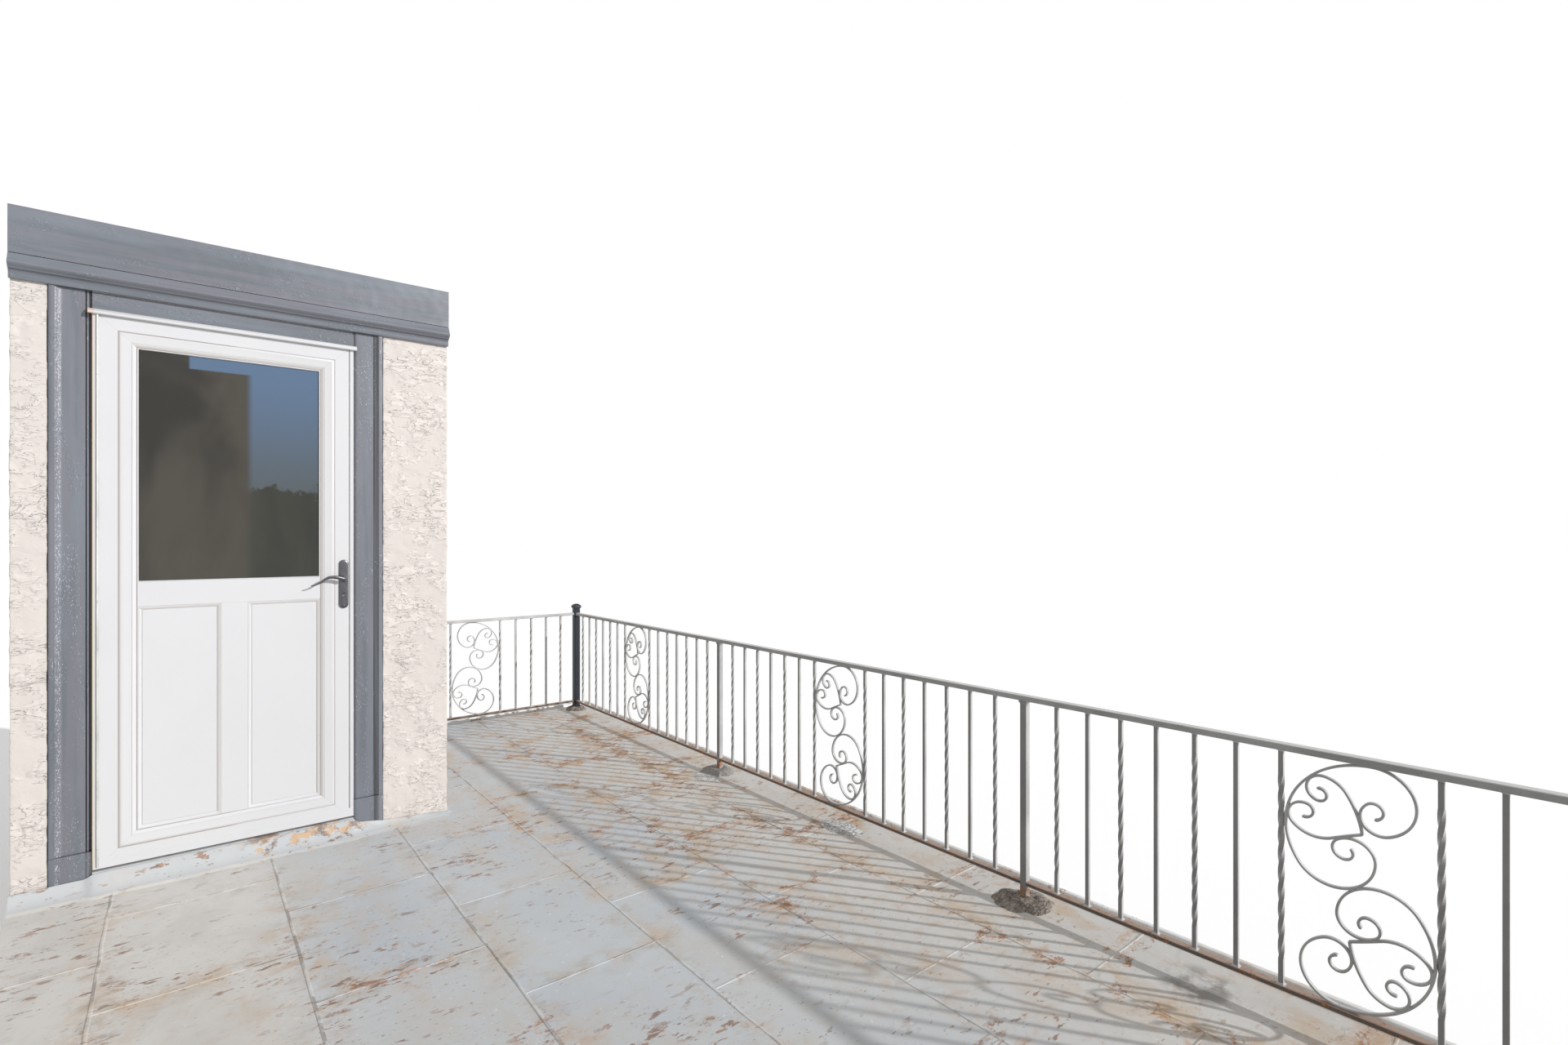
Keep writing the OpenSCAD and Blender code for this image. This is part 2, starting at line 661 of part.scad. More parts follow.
joists_main();
joists_wing();
ledgers();
deck_boards_main();
deck_boards_wing();
roof_sheets();
fascia_front();
fascia_far();
fascia_near();
kerb_front();
kerb_far();
kerb_near();
corner_post_far();
corner_post_near();
line_posts_front();
line_post_near();
post_cement();
top_rail_front();
top_rail_far();
top_rail_near();
bottom_rail_front();
bottom_rail_far();
bottom_rail_near();
wall_plates();
plain_pickets_front();
plain_pickets_far();
plain_pickets_near();
twisted_pickets_front();
twisted_pickets_far();
twisted_pickets_near();
scrolls_front();
scroll_far();
scrolls_near();
wall_corner_pier();
wall_inner_pier();
wall_head();
wall_sill();
wall_side();
casing_outer();
casing_inner();
casing_head();
moulding();
frieze();
door_frame();
threshold();
hinge_bar();
door_leaf();
door_glass();
glazing_beads();
lever_plate();
door_lever();
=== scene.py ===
"""Looks for a walk-out balcony: sheet-metal deck, scrolled iron railing, stucco wall and storm door.

Lengths are in metres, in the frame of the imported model. Each operator makes one
group of pieces from a few sizes that stand in its property group.
"""

import math
from types import SimpleNamespace

import bmesh
import bpy
import numpy as np
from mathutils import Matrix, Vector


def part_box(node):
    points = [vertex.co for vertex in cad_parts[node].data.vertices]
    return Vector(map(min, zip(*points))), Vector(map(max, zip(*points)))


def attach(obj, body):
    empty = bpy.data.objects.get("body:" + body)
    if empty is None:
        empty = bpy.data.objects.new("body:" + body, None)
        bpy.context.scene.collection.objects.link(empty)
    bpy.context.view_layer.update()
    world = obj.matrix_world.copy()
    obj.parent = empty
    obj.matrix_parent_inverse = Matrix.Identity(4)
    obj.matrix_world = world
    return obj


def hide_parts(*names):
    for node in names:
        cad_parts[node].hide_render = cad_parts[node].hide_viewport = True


bl_info = {
    "name": "Walk-out Balcony",
    "version": (1, 0, 0),
    "blender": (4, 5, 0),
    "location": "3D View > Sidebar > Balcony",
    "description": "Dresses a walk-out balcony with its railing, deck, wall and storm door",
    "category": "Add Mesh",
}

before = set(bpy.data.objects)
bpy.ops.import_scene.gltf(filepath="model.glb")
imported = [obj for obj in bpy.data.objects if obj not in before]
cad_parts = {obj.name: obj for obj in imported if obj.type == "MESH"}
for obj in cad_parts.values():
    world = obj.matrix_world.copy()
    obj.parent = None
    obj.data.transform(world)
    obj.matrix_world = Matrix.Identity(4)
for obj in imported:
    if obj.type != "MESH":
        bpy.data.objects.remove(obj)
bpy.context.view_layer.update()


def read_plan():
    """Levels and lines that the pieces share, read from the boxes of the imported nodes."""
    box = {name: np.array(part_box(name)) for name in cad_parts}
    p = SimpleNamespace(box=box)
    post = box["corner_post_far"].mean(0)
    p.x_far, p.y_rail = post[0], post[1]
    p.x_near = box["corner_post_near"].mean(0)[0]
    p.deck_z = box["corner_post_far"][0][2]
    p.low_z = box["bottom_rail_front"][1][2]
    p.high_z = box["top_rail_front"][0][2]
    p.x_wall, p.y_side = box["wall_corner_pier"][0][:2]
    p.y_door = box["wall_corner_pier"][1][1]
    p.y_door_end, p.y_back = box["wall_inner_pier"][0][1], box["wall_inner_pier"][1][1]
    p.wall_t = box["wall_corner_pier"][1][0] - p.x_wall
    p.wall_top = box["wall_corner_pier"][1][2]
    p.x_casing = box["casing_outer"][1][0]
    p.casing_w = p.y_door - box["casing_outer"][0][1]
    p.moulding_z = box["moulding"][0][2]
    p.frieze_z = box["frieze"][0][2]
    p.x_edge = box["fascia_far"][1][0]
    return p


PLAN = read_plan()
FINISHES = {}  # filled by the first operator, read by make_piece


# Shapes. A shape is a pair: its points, and a list of face arrays.

def grid_quads(rows, cols, wrap=False):
    """Quads of a grid of points, row by row. With wrap the last column meets the first."""
    r = np.arange(rows - 1)[:, None]
    c = np.arange(cols if wrap else cols - 1)[None, :]
    n = (c + 1) % cols
    return np.stack([r * cols + c, r * cols + n, (r + 1) * cols + n, (r + 1) * cols + c], -1).reshape(-1, 4)


def sweep(path, side, up, profile, scale=None):
    """Carries a closed profile (a, b) along a path: point = path + a * side + b * up, ends closed."""
    n, m = len(path), len(profile)
    scale = np.ones((n, 2)) if scale is None else scale
    a = (profile[None, :, 0] * scale[:, :1])[..., None] * side[:, None, :]
    b = (profile[None, :, 1] * scale[:, 1:])[..., None] * up[:, None, :]
    points = (path[:, None, :] + a + b).reshape(-1, 3)
    ends = np.array([np.arange(m)[::-1], (n - 1) * m + np.arange(m)])
    return points, [grid_quads(n, m, wrap=True), ends]


def rings(layers):
    """Joins rings of equal count, given as an array (layer, point, xyz), and closes both ends."""
    n, m = layers.shape[:2]
    ends = np.array([np.arange(m)[::-1], (n - 1) * m + np.arange(m)])
    return layers.reshape(-1, 3), [grid_quads(n, m, wrap=True), ends]


def join(shapes):
    """Puts several shapes into one, with their face numbers moved along."""
    points, faces, start = [], [], 0
    for v, f in shapes:
        points.append(v)
        faces += [a + start for a in f]
        start += len(v)
    return np.concatenate(points), faces


def repeat(shape, offsets):
    """Copies a shape to each offset."""
    v, f = shape
    offsets = np.asarray(offsets, float).reshape(-1, 3)
    step = np.arange(len(offsets)) * len(v)
    points = (v[None] + offsets[:, None]).reshape(-1, 3)
    return points, [(a[None] + step[:, None, None]).reshape(-1, a.shape[1]) for a in f]


def circle(n):
    """Angles of n points spaced evenly round a circle."""
    return np.linspace(0, 2 * math.pi, n + 1)[:-1]


def rounded_box_outline(w, h, r, n=3):
    """Outline of a w by h rectangle whose corners are arcs of radius r, n + 1 points to a corner."""
    t = np.linspace(0, math.pi / 2, n + 1)
    corner = np.stack([np.cos(t), np.sin(t)], -1) * r
    out = []
    for k, (sx, sy) in enumerate(((1, 1), (-1, 1), (-1, -1), (1, -1))):
        c, s = math.cos(k * math.pi / 2), math.sin(k * math.pi / 2)
        turned = corner @ np.array([[c, s], [-s, c]])
        out.append(turned + [sx * (w / 2 - r), sy * (h / 2 - r)])
    return np.concatenate(out)


def square_loft(levels, n=3):
    """Upright bar of rounded square section: each level is (half width, corner radius, height)."""
    layers = [np.c_[rounded_box_outline(2 * h, 2 * h, r, n), np.full(4 * (n + 1), z)] for h, r, z in levels]
    return rings(np.array(layers))


def value_noise(p, size, seed):
    """Smooth noise from 0 to 1: random heights on a lattice, blended between the eight nearest."""
    table = np.random.default_rng(seed).random((32, 32, 32))
    q = p / size
    i = np.floor(q).astype(int)
    f = q - i
    f = f * f * (3 - 2 * f)
    out = np.zeros(len(p))
    for k in range(8):
        d = np.array([k & 1, k >> 1 & 1, k >> 2])
        j = (i + d) % 32
        out += np.where(d, f, 1 - f).prod(1) * table[j[:, 0], j[:, 1], j[:, 2]]
    return out


def ramp(x, low, high):
    """0 below low, 1 above high and a smooth step between."""
    t = np.clip((x - low) / (high - low), 0, 1)
    return t * t * (3 - 2 * t)


FAINT_SHADE = 0.45   # share of the painted shade that thin bars keep
SQUARE_ON = 0.99    # a face turned further than this to the side or down is no moulding
UNDER_SHADE = 0.8    # painted shade on a moulding's face turned down


def make_piece(name, shape, paint, replaces=(), angle=34.0, shade=None):
    """Turns a shape into an object with its faces outwards, and hands it to the frame. With shade, each
    face keeps a value from 0 to 1 for the painted shade on it: on faces turned inwards from the street, away
    from the lamp, less of it where it is faint, and on the mouldings' faces turned to the hinges or down."""
    v, face_sets = shape
    mesh = bpy.data.meshes.new(name)
    loops = np.concatenate([f.ravel() for f in face_sets])
    totals = np.concatenate([np.full(len(f), f.shape[1]) for f in face_sets])
    mesh.vertices.add(len(v))
    mesh.vertices.foreach_set("co", np.ascontiguousarray(v, np.float32).ravel())
    mesh.loops.add(len(loops))
    mesh.loops.foreach_set("vertex_index", loops.astype(np.int32))
    mesh.polygons.add(len(totals))
    mesh.polygons.foreach_set("loop_start", np.r_[0, np.cumsum(totals)[:-1]].astype(np.int32))
    mesh.polygons.foreach_set("loop_total", totals.astype(np.int32))
    mesh.update(calc_edges=True)
    mesh.validate()
    bm = bmesh.new()
    bm.from_mesh(mesh)
    bmesh.ops.recalc_face_normals(bm, faces=bm.faces)
    bm.to_mesh(mesh)
    bm.free()
    # Painted shade: each face gets a value, which the finishes turn into darker colour on faces turned from
    # the lamp
    if shade:
        normals = np.empty(len(mesh.polygons) * 3, np.float32)
        mesh.polygons.foreach_get("normal", normals)
        _, ny, nz = normals.reshape(-1, 3).T
        face_shade = np.maximum(ny, 0) * (FAINT_SHADE if shade == "faint" else 1.0)
        if shade == "dust_and_shade":
            face_shade = np.where(np.maximum(ny, -nz) > SQUARE_ON, 0, face_shade + UNDER_SHADE * np.maximum(-nz, 0))
        layer = mesh.attributes.new("shade", "FLOAT", "FACE").data
        layer.foreach_set("value", np.clip(face_shade, 0, 1).astype(np.float32))
    mesh.shade_smooth()
    mesh.set_sharp_from_angle(angle=math.radians(angle))
    obj = bpy.data.objects.new(name, mesh)
    bpy.context.scene.collection.objects.link(obj)
    mesh.materials.append(FINISHES[paint])
    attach(obj, "root")
    if replaces:
        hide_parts(*replaces)
    return obj


def node_spans(node, axis, gap):
    """Where a node's separate bars lie along one axis: its corners, cut wherever a wide gap shows."""
    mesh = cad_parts[node].data
    co = np.empty(len(mesh.vertices) * 3, np.float32)
    mesh.vertices.foreach_get("co", co)
    s = np.unique(np.round(co.reshape(-1, 3)[:, axis].astype(float), 5))
    cut = np.flatnonzero(np.diff(s) > gap)
    return np.stack([s[np.r_[0, cut + 1]], s[np.r_[cut, len(s) - 1]]], -1)


def stands(name, axis, gap, z):
    """Places of a node's separate bars at height z, in the node's middle line along the axis."""
    along = node_spans(name, axis, gap).mean(1)
    spots = np.full((len(along), 3), z)
    spots[:, axis], spots[:, 1 - axis] = along, PLAN.box[name].mean(0)[1 - axis]
    return spots


# Shader helpers

def node(tree, kind, links=None, **props):
    """Adds a node, sets its properties, and fills its inputs with values or links."""
    made = tree.nodes.new(kind)
    for key, value in props.items():
        setattr(made, key, value)
    for key, value in (links or {}).items():
        socket = made.inputs[key]
        if isinstance(value, bpy.types.NodeSocket):
            tree.links.new(value, socket)
        else:
            socket.default_value = value
    return made


def maths(tree, how, a, b=0.0):
    """One sum, product or other operation of two values."""
    return node(tree, "ShaderNodeMath", {0: a, 1: b}, operation=how, use_clamp=False).outputs[0]


def times(tree, *values):
    """The product of several values."""
    out = values[0]
    for value in values[1:]:
        out = maths(tree, "MULTIPLY", out, value)
    return out


def plus(tree, a, b):
    """The sum of two values."""
    return maths(tree, "ADD", a, b)


def minus(tree, a, b):
    """The first value less the second."""
    return maths(tree, "SUBTRACT", a, b)


def most(tree, a, b):
    """The greater of two values."""
    return maths(tree, "MAXIMUM", a, b)


def apart(tree, a, b):
    """How far two values lie from each other."""
    return maths(tree, "ABSOLUTE", minus(tree, a, b))


def parts(tree, vector):
    """The x, y and z of a vector."""
    return node(tree, "ShaderNodeSeparateXYZ", {0: vector}).outputs


def blend(tree, amount, a, b):
    """Colour a turned into colour b by an amount."""
    return node(tree, "ShaderNodeMix", {0: amount, 6: a, 7: b}, data_type="RGBA", blend_type="MIX").outputs[2]


def rescale(tree, value, low, high, to_low=0.0, to_high=1.0):
    """Maps a value from one range to another with a smooth step, held at its ends."""
    return node(tree, "ShaderNodeMapRange", {0: value, 1: low, 2: high, 3: to_low, 4: to_high},
                interpolation_type="SMOOTHSTEP").outputs[0]


def noise(tree, vector, scale, detail=4.0, rough=0.55, distort=0.0):
    """Fractal noise on a vector."""
    return node(tree, "ShaderNodeTexNoise", {"Vector": vector, "Scale": scale, "Detail": detail,
                                             "Roughness": rough, "Distortion": distort}).outputs[0]


def stretched(tree, vector, x, y, z):
    """The vector with each part multiplied, which draws a pattern out along an axis."""
    return node(tree, "ShaderNodeVectorMath", {0: vector, 1: (x, y, z)}, operation="MULTIPLY").outputs[0]


def new_group(name, inputs, outputs):
    """A shader node group with named sockets: inputs (name, socket kind, default), outputs (name, kind)."""
    tree = bpy.data.node_groups.new(name, "ShaderNodeTree")
    for label, kind, value in inputs:
        socket = tree.interface.new_socket(label, in_out="INPUT", socket_type=kind)
        if value is not None:
            socket.default_value = value
    for label, kind in outputs:
        tree.interface.new_socket(label, in_out="OUTPUT", socket_type=kind)
    return tree, tree.nodes.new("NodeGroupInput").outputs, tree.nodes.new("NodeGroupOutput").inputs


def place_group(tree, name, links):
    """Puts a group into a material with its own values."""
    return node(tree, "ShaderNodeGroup", links, node_tree=bpy.data.node_groups[name]).outputs


def rgba(colour, k=1.0):
    """A colour as four numbers, made lighter or darker by k."""
    return (*(min(part * k, 1) for part in colour[:3]), 1.0)


def new_material(name):
    """An empty material with its shader, and the object coordinates."""
    mat = bpy.data.materials.new(name)
    mat.use_nodes = True
    tree = mat.node_tree
    tree.nodes.clear()
    out = tree.nodes.new("ShaderNodeOutputMaterial")
    shader = tree.nodes.new("ShaderNodeBsdfPrincipled")
    tree.links.new(shader.outputs[0], out.inputs[0])
    coords = tree.nodes.new("ShaderNodeTexCoord").outputs["Object"]
    return mat, tree, shader, coords


def finish(tree, shader, colour=None, rough=None, height=None, distance=0.001, strength=1.0, **plain):
    """Links colour, roughness and bump to the shader and sets its plain values."""
    if colour is not None:
        tree.links.new(colour, shader.inputs["Base Color"])
    if rough is not None:
        tree.links.new(rough, shader.inputs["Roughness"])
    if height is not None:
        bump = node(tree, "ShaderNodeBump", {"Height": height, "Distance": distance, "Strength": strength})
        tree.links.new(bump.outputs[0], shader.inputs["Normal"])
    for key, value in plain.items():
        shader.inputs[key.replace("_", " ")].default_value = value


def build_groups():
    """The effects that several finishes share."""
    v, f, c = "NodeSocketVector", "NodeSocketFloat", "NodeSocketColor"

    # Rust: where a coarse noise, broken by a fine one, passes the level set by Amount
    t, i, o = new_group("Rust", [("Vector", v, None), ("Scale", f, 8.0), ("Amount", f, 0.3)],
                        [("Mask", f), ("Colour", c)])
    coarse = noise(t, i["Vector"], i["Scale"], 6, 0.62, 0.6)
    fine = noise(t, i["Vector"], times(t, i["Scale"], 7.0), 4, 0.7)
    both = plus(t, times(t, coarse, 0.72), times(t, fine, 0.28))
    edge = minus(t, 0.78, times(t, i["Amount"], 0.5))
    mask = rescale(t, minus(t, both, edge), -0.012, 0.07)
    tone = noise(t, i["Vector"], times(t, i["Scale"], 3.0), 5, 0.7)
    tan, dark = (0.50, 0.25, 0.10, 1), (0.13, 0.055, 0.030, 1)
    colour = blend(t, rescale(t, tone, 0.36, 0.68), tan, dark)
    t.links.new(mask, o["Mask"])
    t.links.new(blend(t, rescale(t, fine, 0.45, 0.7), colour, (0.36, 0.13, 0.045, 1)), o["Colour"])

    # Weathering: slow drifts of tone with small specks
    t, i, o = new_group("Weathering", [("Vector", v, None), ("Scale", f, 3.0)],
                        [("Drift", f), ("Specks", f), ("Height", f)])
    slow = noise(t, i["Vector"], i["Scale"], 5, 0.55, 0.4)
    speck = noise(t, i["Vector"], times(t, i["Scale"], 26.0), 3, 0.6)
    t.links.new(rescale(t, slow, 0.3, 0.7), o["Drift"])
    t.links.new(rescale(t, speck, 0.6, 0.72), o["Specks"])
    t.links.new(plus(t, times(t, slow, 0.4), times(t, speck, 0.6)), o["Height"])

    # Brush marks: long soft strokes, bands of tone along them, and now and then a run of small beads
    t, i, o = new_group("Brush Marks", [("Vector", v, None)], [("Height", f), ("Tone", f), ("Bands", f)])
    strokes = noise(t, stretched(t, i["Vector"], 75, 75, 2.4), 1.0, 3, 0.55)
    beads = rescale(t, noise(t, stretched(t, i["Vector"], 150, 150, 80), 1.0, 2, 0.5, 0.6), 0.53, 0.63)
    where = rescale(t, noise(t, stretched(t, i["Vector"], 13, 13, 3.6), 1.0, 3, 0.6), 0.52, 0.62)
    beads = times(t, beads, where)
    t.links.new(plus(t, times(t, strokes, 0.35), times(t, beads, 0.65)), o["Height"])
    tone = noise(t, stretched(t, i["Vector"], 15, 15, 1.6), 1.0, 4, 0.55)
    t.links.new(rescale(t, tone, 0.34, 0.68), o["Tone"])
    bands = noise(t, stretched(t, i["Vector"], 32, 32, 0.9), 1.0, 2, 0.5)
    t.links.new(rescale(t, bands, 0.42, 0.60), o["Bands"])

    # Trowel grain: near-flat pads whose edges are torn here and there, over a faint drag
    t, i, o = new_group("Trowel Grain", [("Vector", v, None)], [("Height", f), ("Tone", f), ("Edge", f)])
    height, edges = None, None
    for scale, where, shift in ((15.0, 6.0, 0.0), (27.0, 9.0, 3.7)):
        moved = node(t, "ShaderNodeVectorMath", {0: i["Vector"], 1: (shift, shift, shift)}, operation="ADD")
        moved = moved.outputs[0]
        pads = noise(t, stretched(t, moved, 0.8, 0.8, 2.3), scale, 3, 0.5, 1.1)
        torn = rescale(t, noise(t, moved, where, 3, 0.6), 0.47, 0.58)
        step = times(t, rescale(t, pads, 0.488, 0.512), torn)
        away = apart(t, pads, 0.489)
        edge = times(t, rescale(t, away, 0.0, 0.009, 1.0, 0.0), torn)
        height = step if height is None else plus(t, height, times(t, step, 0.7))
        edges = edge if edges is None else most(t, edges, edge)
    drag = noise(t, stretched(t, i["Vector"], 20, 20, 34), 1.0, 5, 0.55, 0.8)
    height = plus(t, height, times(t, drag, 0.55))
    t.links.new(height, o["Height"])
    t.links.new(edges, o["Edge"])
    t.links.new(rescale(t, noise(t, i["Vector"], 5.0, 5, 0.6), 0.3, 0.75), o["Tone"])


def metal_paint(name, colour, rust, rust_scale, rough=0.5, low_rust=None, shine=0.0, top=None):
    """Worn paint on iron: drifting tone, painted shade on faces turned inwards from the street, dark specks
    and rust blotches. Rust covers it below the height low_rust. Top is a height and a colour laid on the
    faces at that height, and with it the front face gets painted shade."""
    mat, t, shader, vec = new_material(name)
    _, y, z = parts(t, vec)
    wear = place_group(t, "Weathering", {"Vector": vec, "Scale": 5.0})
    base = blend(t, wear["Drift"], rgba(colour, 0.84), rgba(colour, 1.2))
    # Painted shade on the faces turned inwards from the street, from each face's shade value
    soot = node(t, "ShaderNodeAttribute", attribute_name="shade").outputs["Fac"]
    base = blend(t, times(t, soot, 0.72), base, rgba(colour, 0.3))
    if top is not None:
        # Painted shade on the front face, and the given colour on the upper face: a painted highlight on the
        # top rail, rust on the bottom rail
        side = apart(t, y, PLAN.box["top_rail_front"][1][1])
        base = blend(t, rescale(t, side, 0.0008, 0.0016, 0.5, 0.0), base, rgba(colour, 0.3))
        base = blend(t, rescale(t, z, top[0] - 0.0026, top[0] - 0.0012, 0.0, 0.85), base, rgba(top[1]))
    base = blend(t, times(t, wear["Specks"], 0.45), base, rgba(colour, 0.35))
    amount = rust
    if low_rust is not None:
        foot = rescale(t, z, low_rust - 0.03, low_rust - 0.005, 0.34, 0.0)
        foot = plus(t, foot, rescale(t, z, low_rust, low_rust + 0.10, 0.22, 0.0))
        amount = plus(t, foot, rust)
    stain = place_group(t, "Rust", {"Vector": vec, "Scale": rust_scale, "Amount": amount})
    base = blend(t, times(t, stain["Mask"], 0.85), base, stain["Colour"])
    rough_at = plus(t, times(t, stain["Mask"], 0.32), rough)
    height = plus(t, times(t, wear["Height"], 0.5), times(t, stain["Mask"], 0.6))
    finish(t, shader, base, rough_at, height, 0.0006, 0.8, Metallic=shine, Specular_IOR_Level=0.3)
    return mat


def sheet_seams(t, vec, s):
    """Distance to the nearest sheet seam, and a random tone for each sheet."""
    x, y, _ = parts(t, vec)
    away, rows = 9.0, 0.0
    for line in s.seam_lines:
        past = minus(t, y, PLAN.y_rail + line)
        away = maths(t, "MINIMUM", away, maths(t, "ABSOLUTE", past))
        rows = plus(t, rows, maths(t, "GREATER_THAN", past, 0.0))
    half = times(t, maths(t, "PINGPONG", plus(t, rows, 1.0), 1.0), 0.5)
    column = plus(t, maths(t, "DIVIDE", minus(t, x, s.first_joint), s.sheet_l), half)
    across = times(t, maths(t, "PINGPONG", column, 0.5), s.sheet_l)
    cell = node(t, "ShaderNodeCombineXYZ", {0: maths(t, "FLOOR", column), 1: rows}).outputs[0]
    return maths(t, "MINIMUM", away, across), node(t, "ShaderNodeTexWhiteNoise", {"Vector": cell}).outputs[0]


def roof_paint(s, name="worn_roof_paint", pale=0.0):
    """Pale paint on flat sheet metal. Rust gathers along the seams, by the railing and in fine flecks drawn
    out along Y, with tan stains round it; the sheets near the wall are warmer; grime lies in the seams, with
    a painted highlight on their ridges. Beyond the railing, and on a piece by Pale, the paint is whiter:
    partly white paint, partly painted light."""
    mat, t, shader, vec = new_material(name)
    p = PLAN
    chalk, white, grime = (0.74, 0.73, 0.70, 1), (0.83, 0.83, 0.82, 1), (0.16, 0.12, 0.10, 1)
    tan, sienna, umber = (0.54, 0.40, 0.265, 1), (0.50, 0.32, 0.19, 1), (0.20, 0.10, 0.06, 1)
    x, y, z = parts(t, vec)
    away, tint = sheet_seams(t, vec, s)
    level = rescale(t, z, p.deck_z + 0.003, p.deck_z + 0.008, 1.0, 0.0)

    def cloud(sx, sy, low, high, detail=5, rough=0.65, distort=0.0):
        """Noise drawn out along an axis and cut between two levels."""
        return rescale(t, noise(t, stretched(t, vec, sx, sy, sx), 1.0, detail, rough, distort), low, high)

    near = times(t, rescale(t, away, 0.0, 0.11, 1.0, 0.0), level)
    by_rail = rescale(t, y, p.y_rail - 0.02, p.y_rail + 1.45, 1.0, 0.0)
    inward = rescale(t, y, p.y_rail + 1.95, p.y_rail + 2.25)
    wear = place_group(t, "Weathering", {"Vector": vec, "Scale": 1.6})
    base = blend(t, wear["Drift"], rgba(s.deck_colour), rgba(s.deck_colour_2))
    base = blend(t, times(t, inward, 0.8), base, rgba(s.deck_colour_3, 1.17))
    outward = rescale(t, y, p.y_rail + 0.25, p.y_rail + 0.95, 0.7, 0.0)
    base = blend(t, outward, base, rgba(s.deck_colour_3, 1.12))
    base = blend(t, times(t, tint, 0.35), base, rgba(s.deck_colour_3))
    drifts = cloud(3.0, 5.0, 0.44, 0.66, 8, 0.62, 0.5)
    base = blend(t, times(t, drifts, 0.5), base, rgba(s.deck_colour_3, 0.90))
    smudges = cloud(22, 9, 0.55, 0.68, 8, 0.72, 0.6)
    base = blend(t, times(t, smudges, 0.32), base, rgba(s.deck_colour_3, 0.70))
    base = blend(t, times(t, cloud(50, 50, 0.645, 0.68), 0.6), base, chalk)
    base = blend(t, rescale(t, level, 0.0, 1.0, 0.8, 0.0), base, rgba(s.deck_colour, 0.80))
    # Whiter beyond the railing: partly white paint, partly painted light that evens out the lip's shade on
    # the deck
    outside = rescale(t, y, p.y_rail - 0.125, p.y_rail - 0.105, 0.85, 0.0)
    base = blend(t, most(t, outside, pale), base, white)
    # Tan stains, then rust, then dark flecks
    patches = rescale(t, noise(t, vec, 1.3, 3, 0.5, 0.3), 0.42, 0.66)
    amount = plus(t, times(t, near, 0.18), times(t, by_rail, 0.15))
    amount = plus(t, amount, plus(t, times(t, patches, 0.15), s.deck_rust))
    drawn = stretched(t, vec, 1.0, 0.62, 1.0)
    stain = place_group(t, "Rust", {"Vector": drawn, "Scale": 21.0, "Amount": amount})
    weight = plus(t, times(t, near, 0.45), plus(t, times(t, by_rail, 0.55), times(t, patches, 0.45)))
    base = blend(t, times(t, cloud(4.5, 7.5, 0.45, 0.66, 8, 0.68, 0.4), weight, 0.85), base, tan)
    base = blend(t, times(t, cloud(13, 8, 0.52, 0.68, 7, 0.7, 0.5), weight, 0.75), base, sienna)
    base = blend(t, times(t, stain["Mask"], cloud(60, 36, 0.30, 0.52), 0.85), base, stain["Colour"])
    flecks = times(t, cloud(36, 13, 0.592, 0.635), cloud(3.1, 2.4, 0.43, 0.60, 3, 0.5))
    clumps = times(t, cloud(33, 14, 0.53, 0.57, 7, 0.72), cloud(3.4, 2.6, 0.61, 0.68, 4, 0.6))
    flecks = most(t, flecks, clumps)
    brown = blend(t, cloud(30, 30, 0.4, 0.6), (0.155, 0.070, 0.038, 1), (0.34, 0.17, 0.09, 1))
    base = blend(t, times(t, flecks, 0.8), base, brown)
    pins = times(t, cloud(95, 42, 0.635, 0.675, 4, 0.7), cloud(2.2, 2.2, 0.34, 0.54, 3, 0.5))
    base = blend(t, times(t, pins, 0.75), base, umber)
    # Grime in the broken line of each seam, grey smudges beside it, and a painted highlight on its ridge
    ridge = times(t, rescale(t, away, 0.004, 0.008, 1.0, 0.0), level)
    base = blend(t, times(t, ridge, 0.12), base, (0.66, 0.65, 0.62, 1))
    line = times(t, rescale(t, away, 0.002, 0.006, 1.0, 0.0), cloud(5, 5, 0.48, 0.60, 6, 0.65), level)
    base = blend(t, times(t, line, 0.62), base, grime)
    base = blend(t, times(t, near, cloud(12, 9, 0.50, 0.68, 6, 0.65), 0.45), base, (0.34, 0.30, 0.25, 1))
    # Cracked paint and rust where the metal meets the wall under the door
    foot = times(t, rescale(t, x, p.x_wall - 0.085, p.x_wall - 0.055),
                 rescale(t, x, p.x_wall, p.x_wall + 0.01, 1.0, 0.0))
    span = rescale(t, apart(t, y, p.y_door + 0.17), 0.16, 0.27, 1.0, 0.0)
    crack = times(t, foot, span, cloud(17, 12, 0.50, 0.555, 7, 0.7))
    ochre = blend(t, cloud(21, 21, 0.42, 0.58), (0.56, 0.33, 0.15, 1), (0.15, 0.085, 0.055, 1))
    base = blend(t, times(t, crack, 0.8), base, ochre)
    # A dull smear by the railing
    dx, dy = (minus(t, a, b) for a, b in ((x, -1.60), (y, p.y_rail + 0.055)))
    far = plus(t, times(t, dx, dx), times(t, dy, dy))
    smear = times(t, rescale(t, far, 0.003, 0.016, 1.0, 0.0), cloud(18, 13, 0.34, 0.60), level)
    base = blend(t, times(t, smear, 0.75), base, (0.155, 0.14, 0.125, 1))
    rough_at = plus(t, times(t, stain["Mask"], 0.25), 0.55)
    height = plus(t, times(t, wear["Height"], 0.5), times(t, stain["Mask"], 0.5))
    finish(t, shader, base, rough_at, height, 0.0009, 0.7, Metallic=0.0)
    return mat


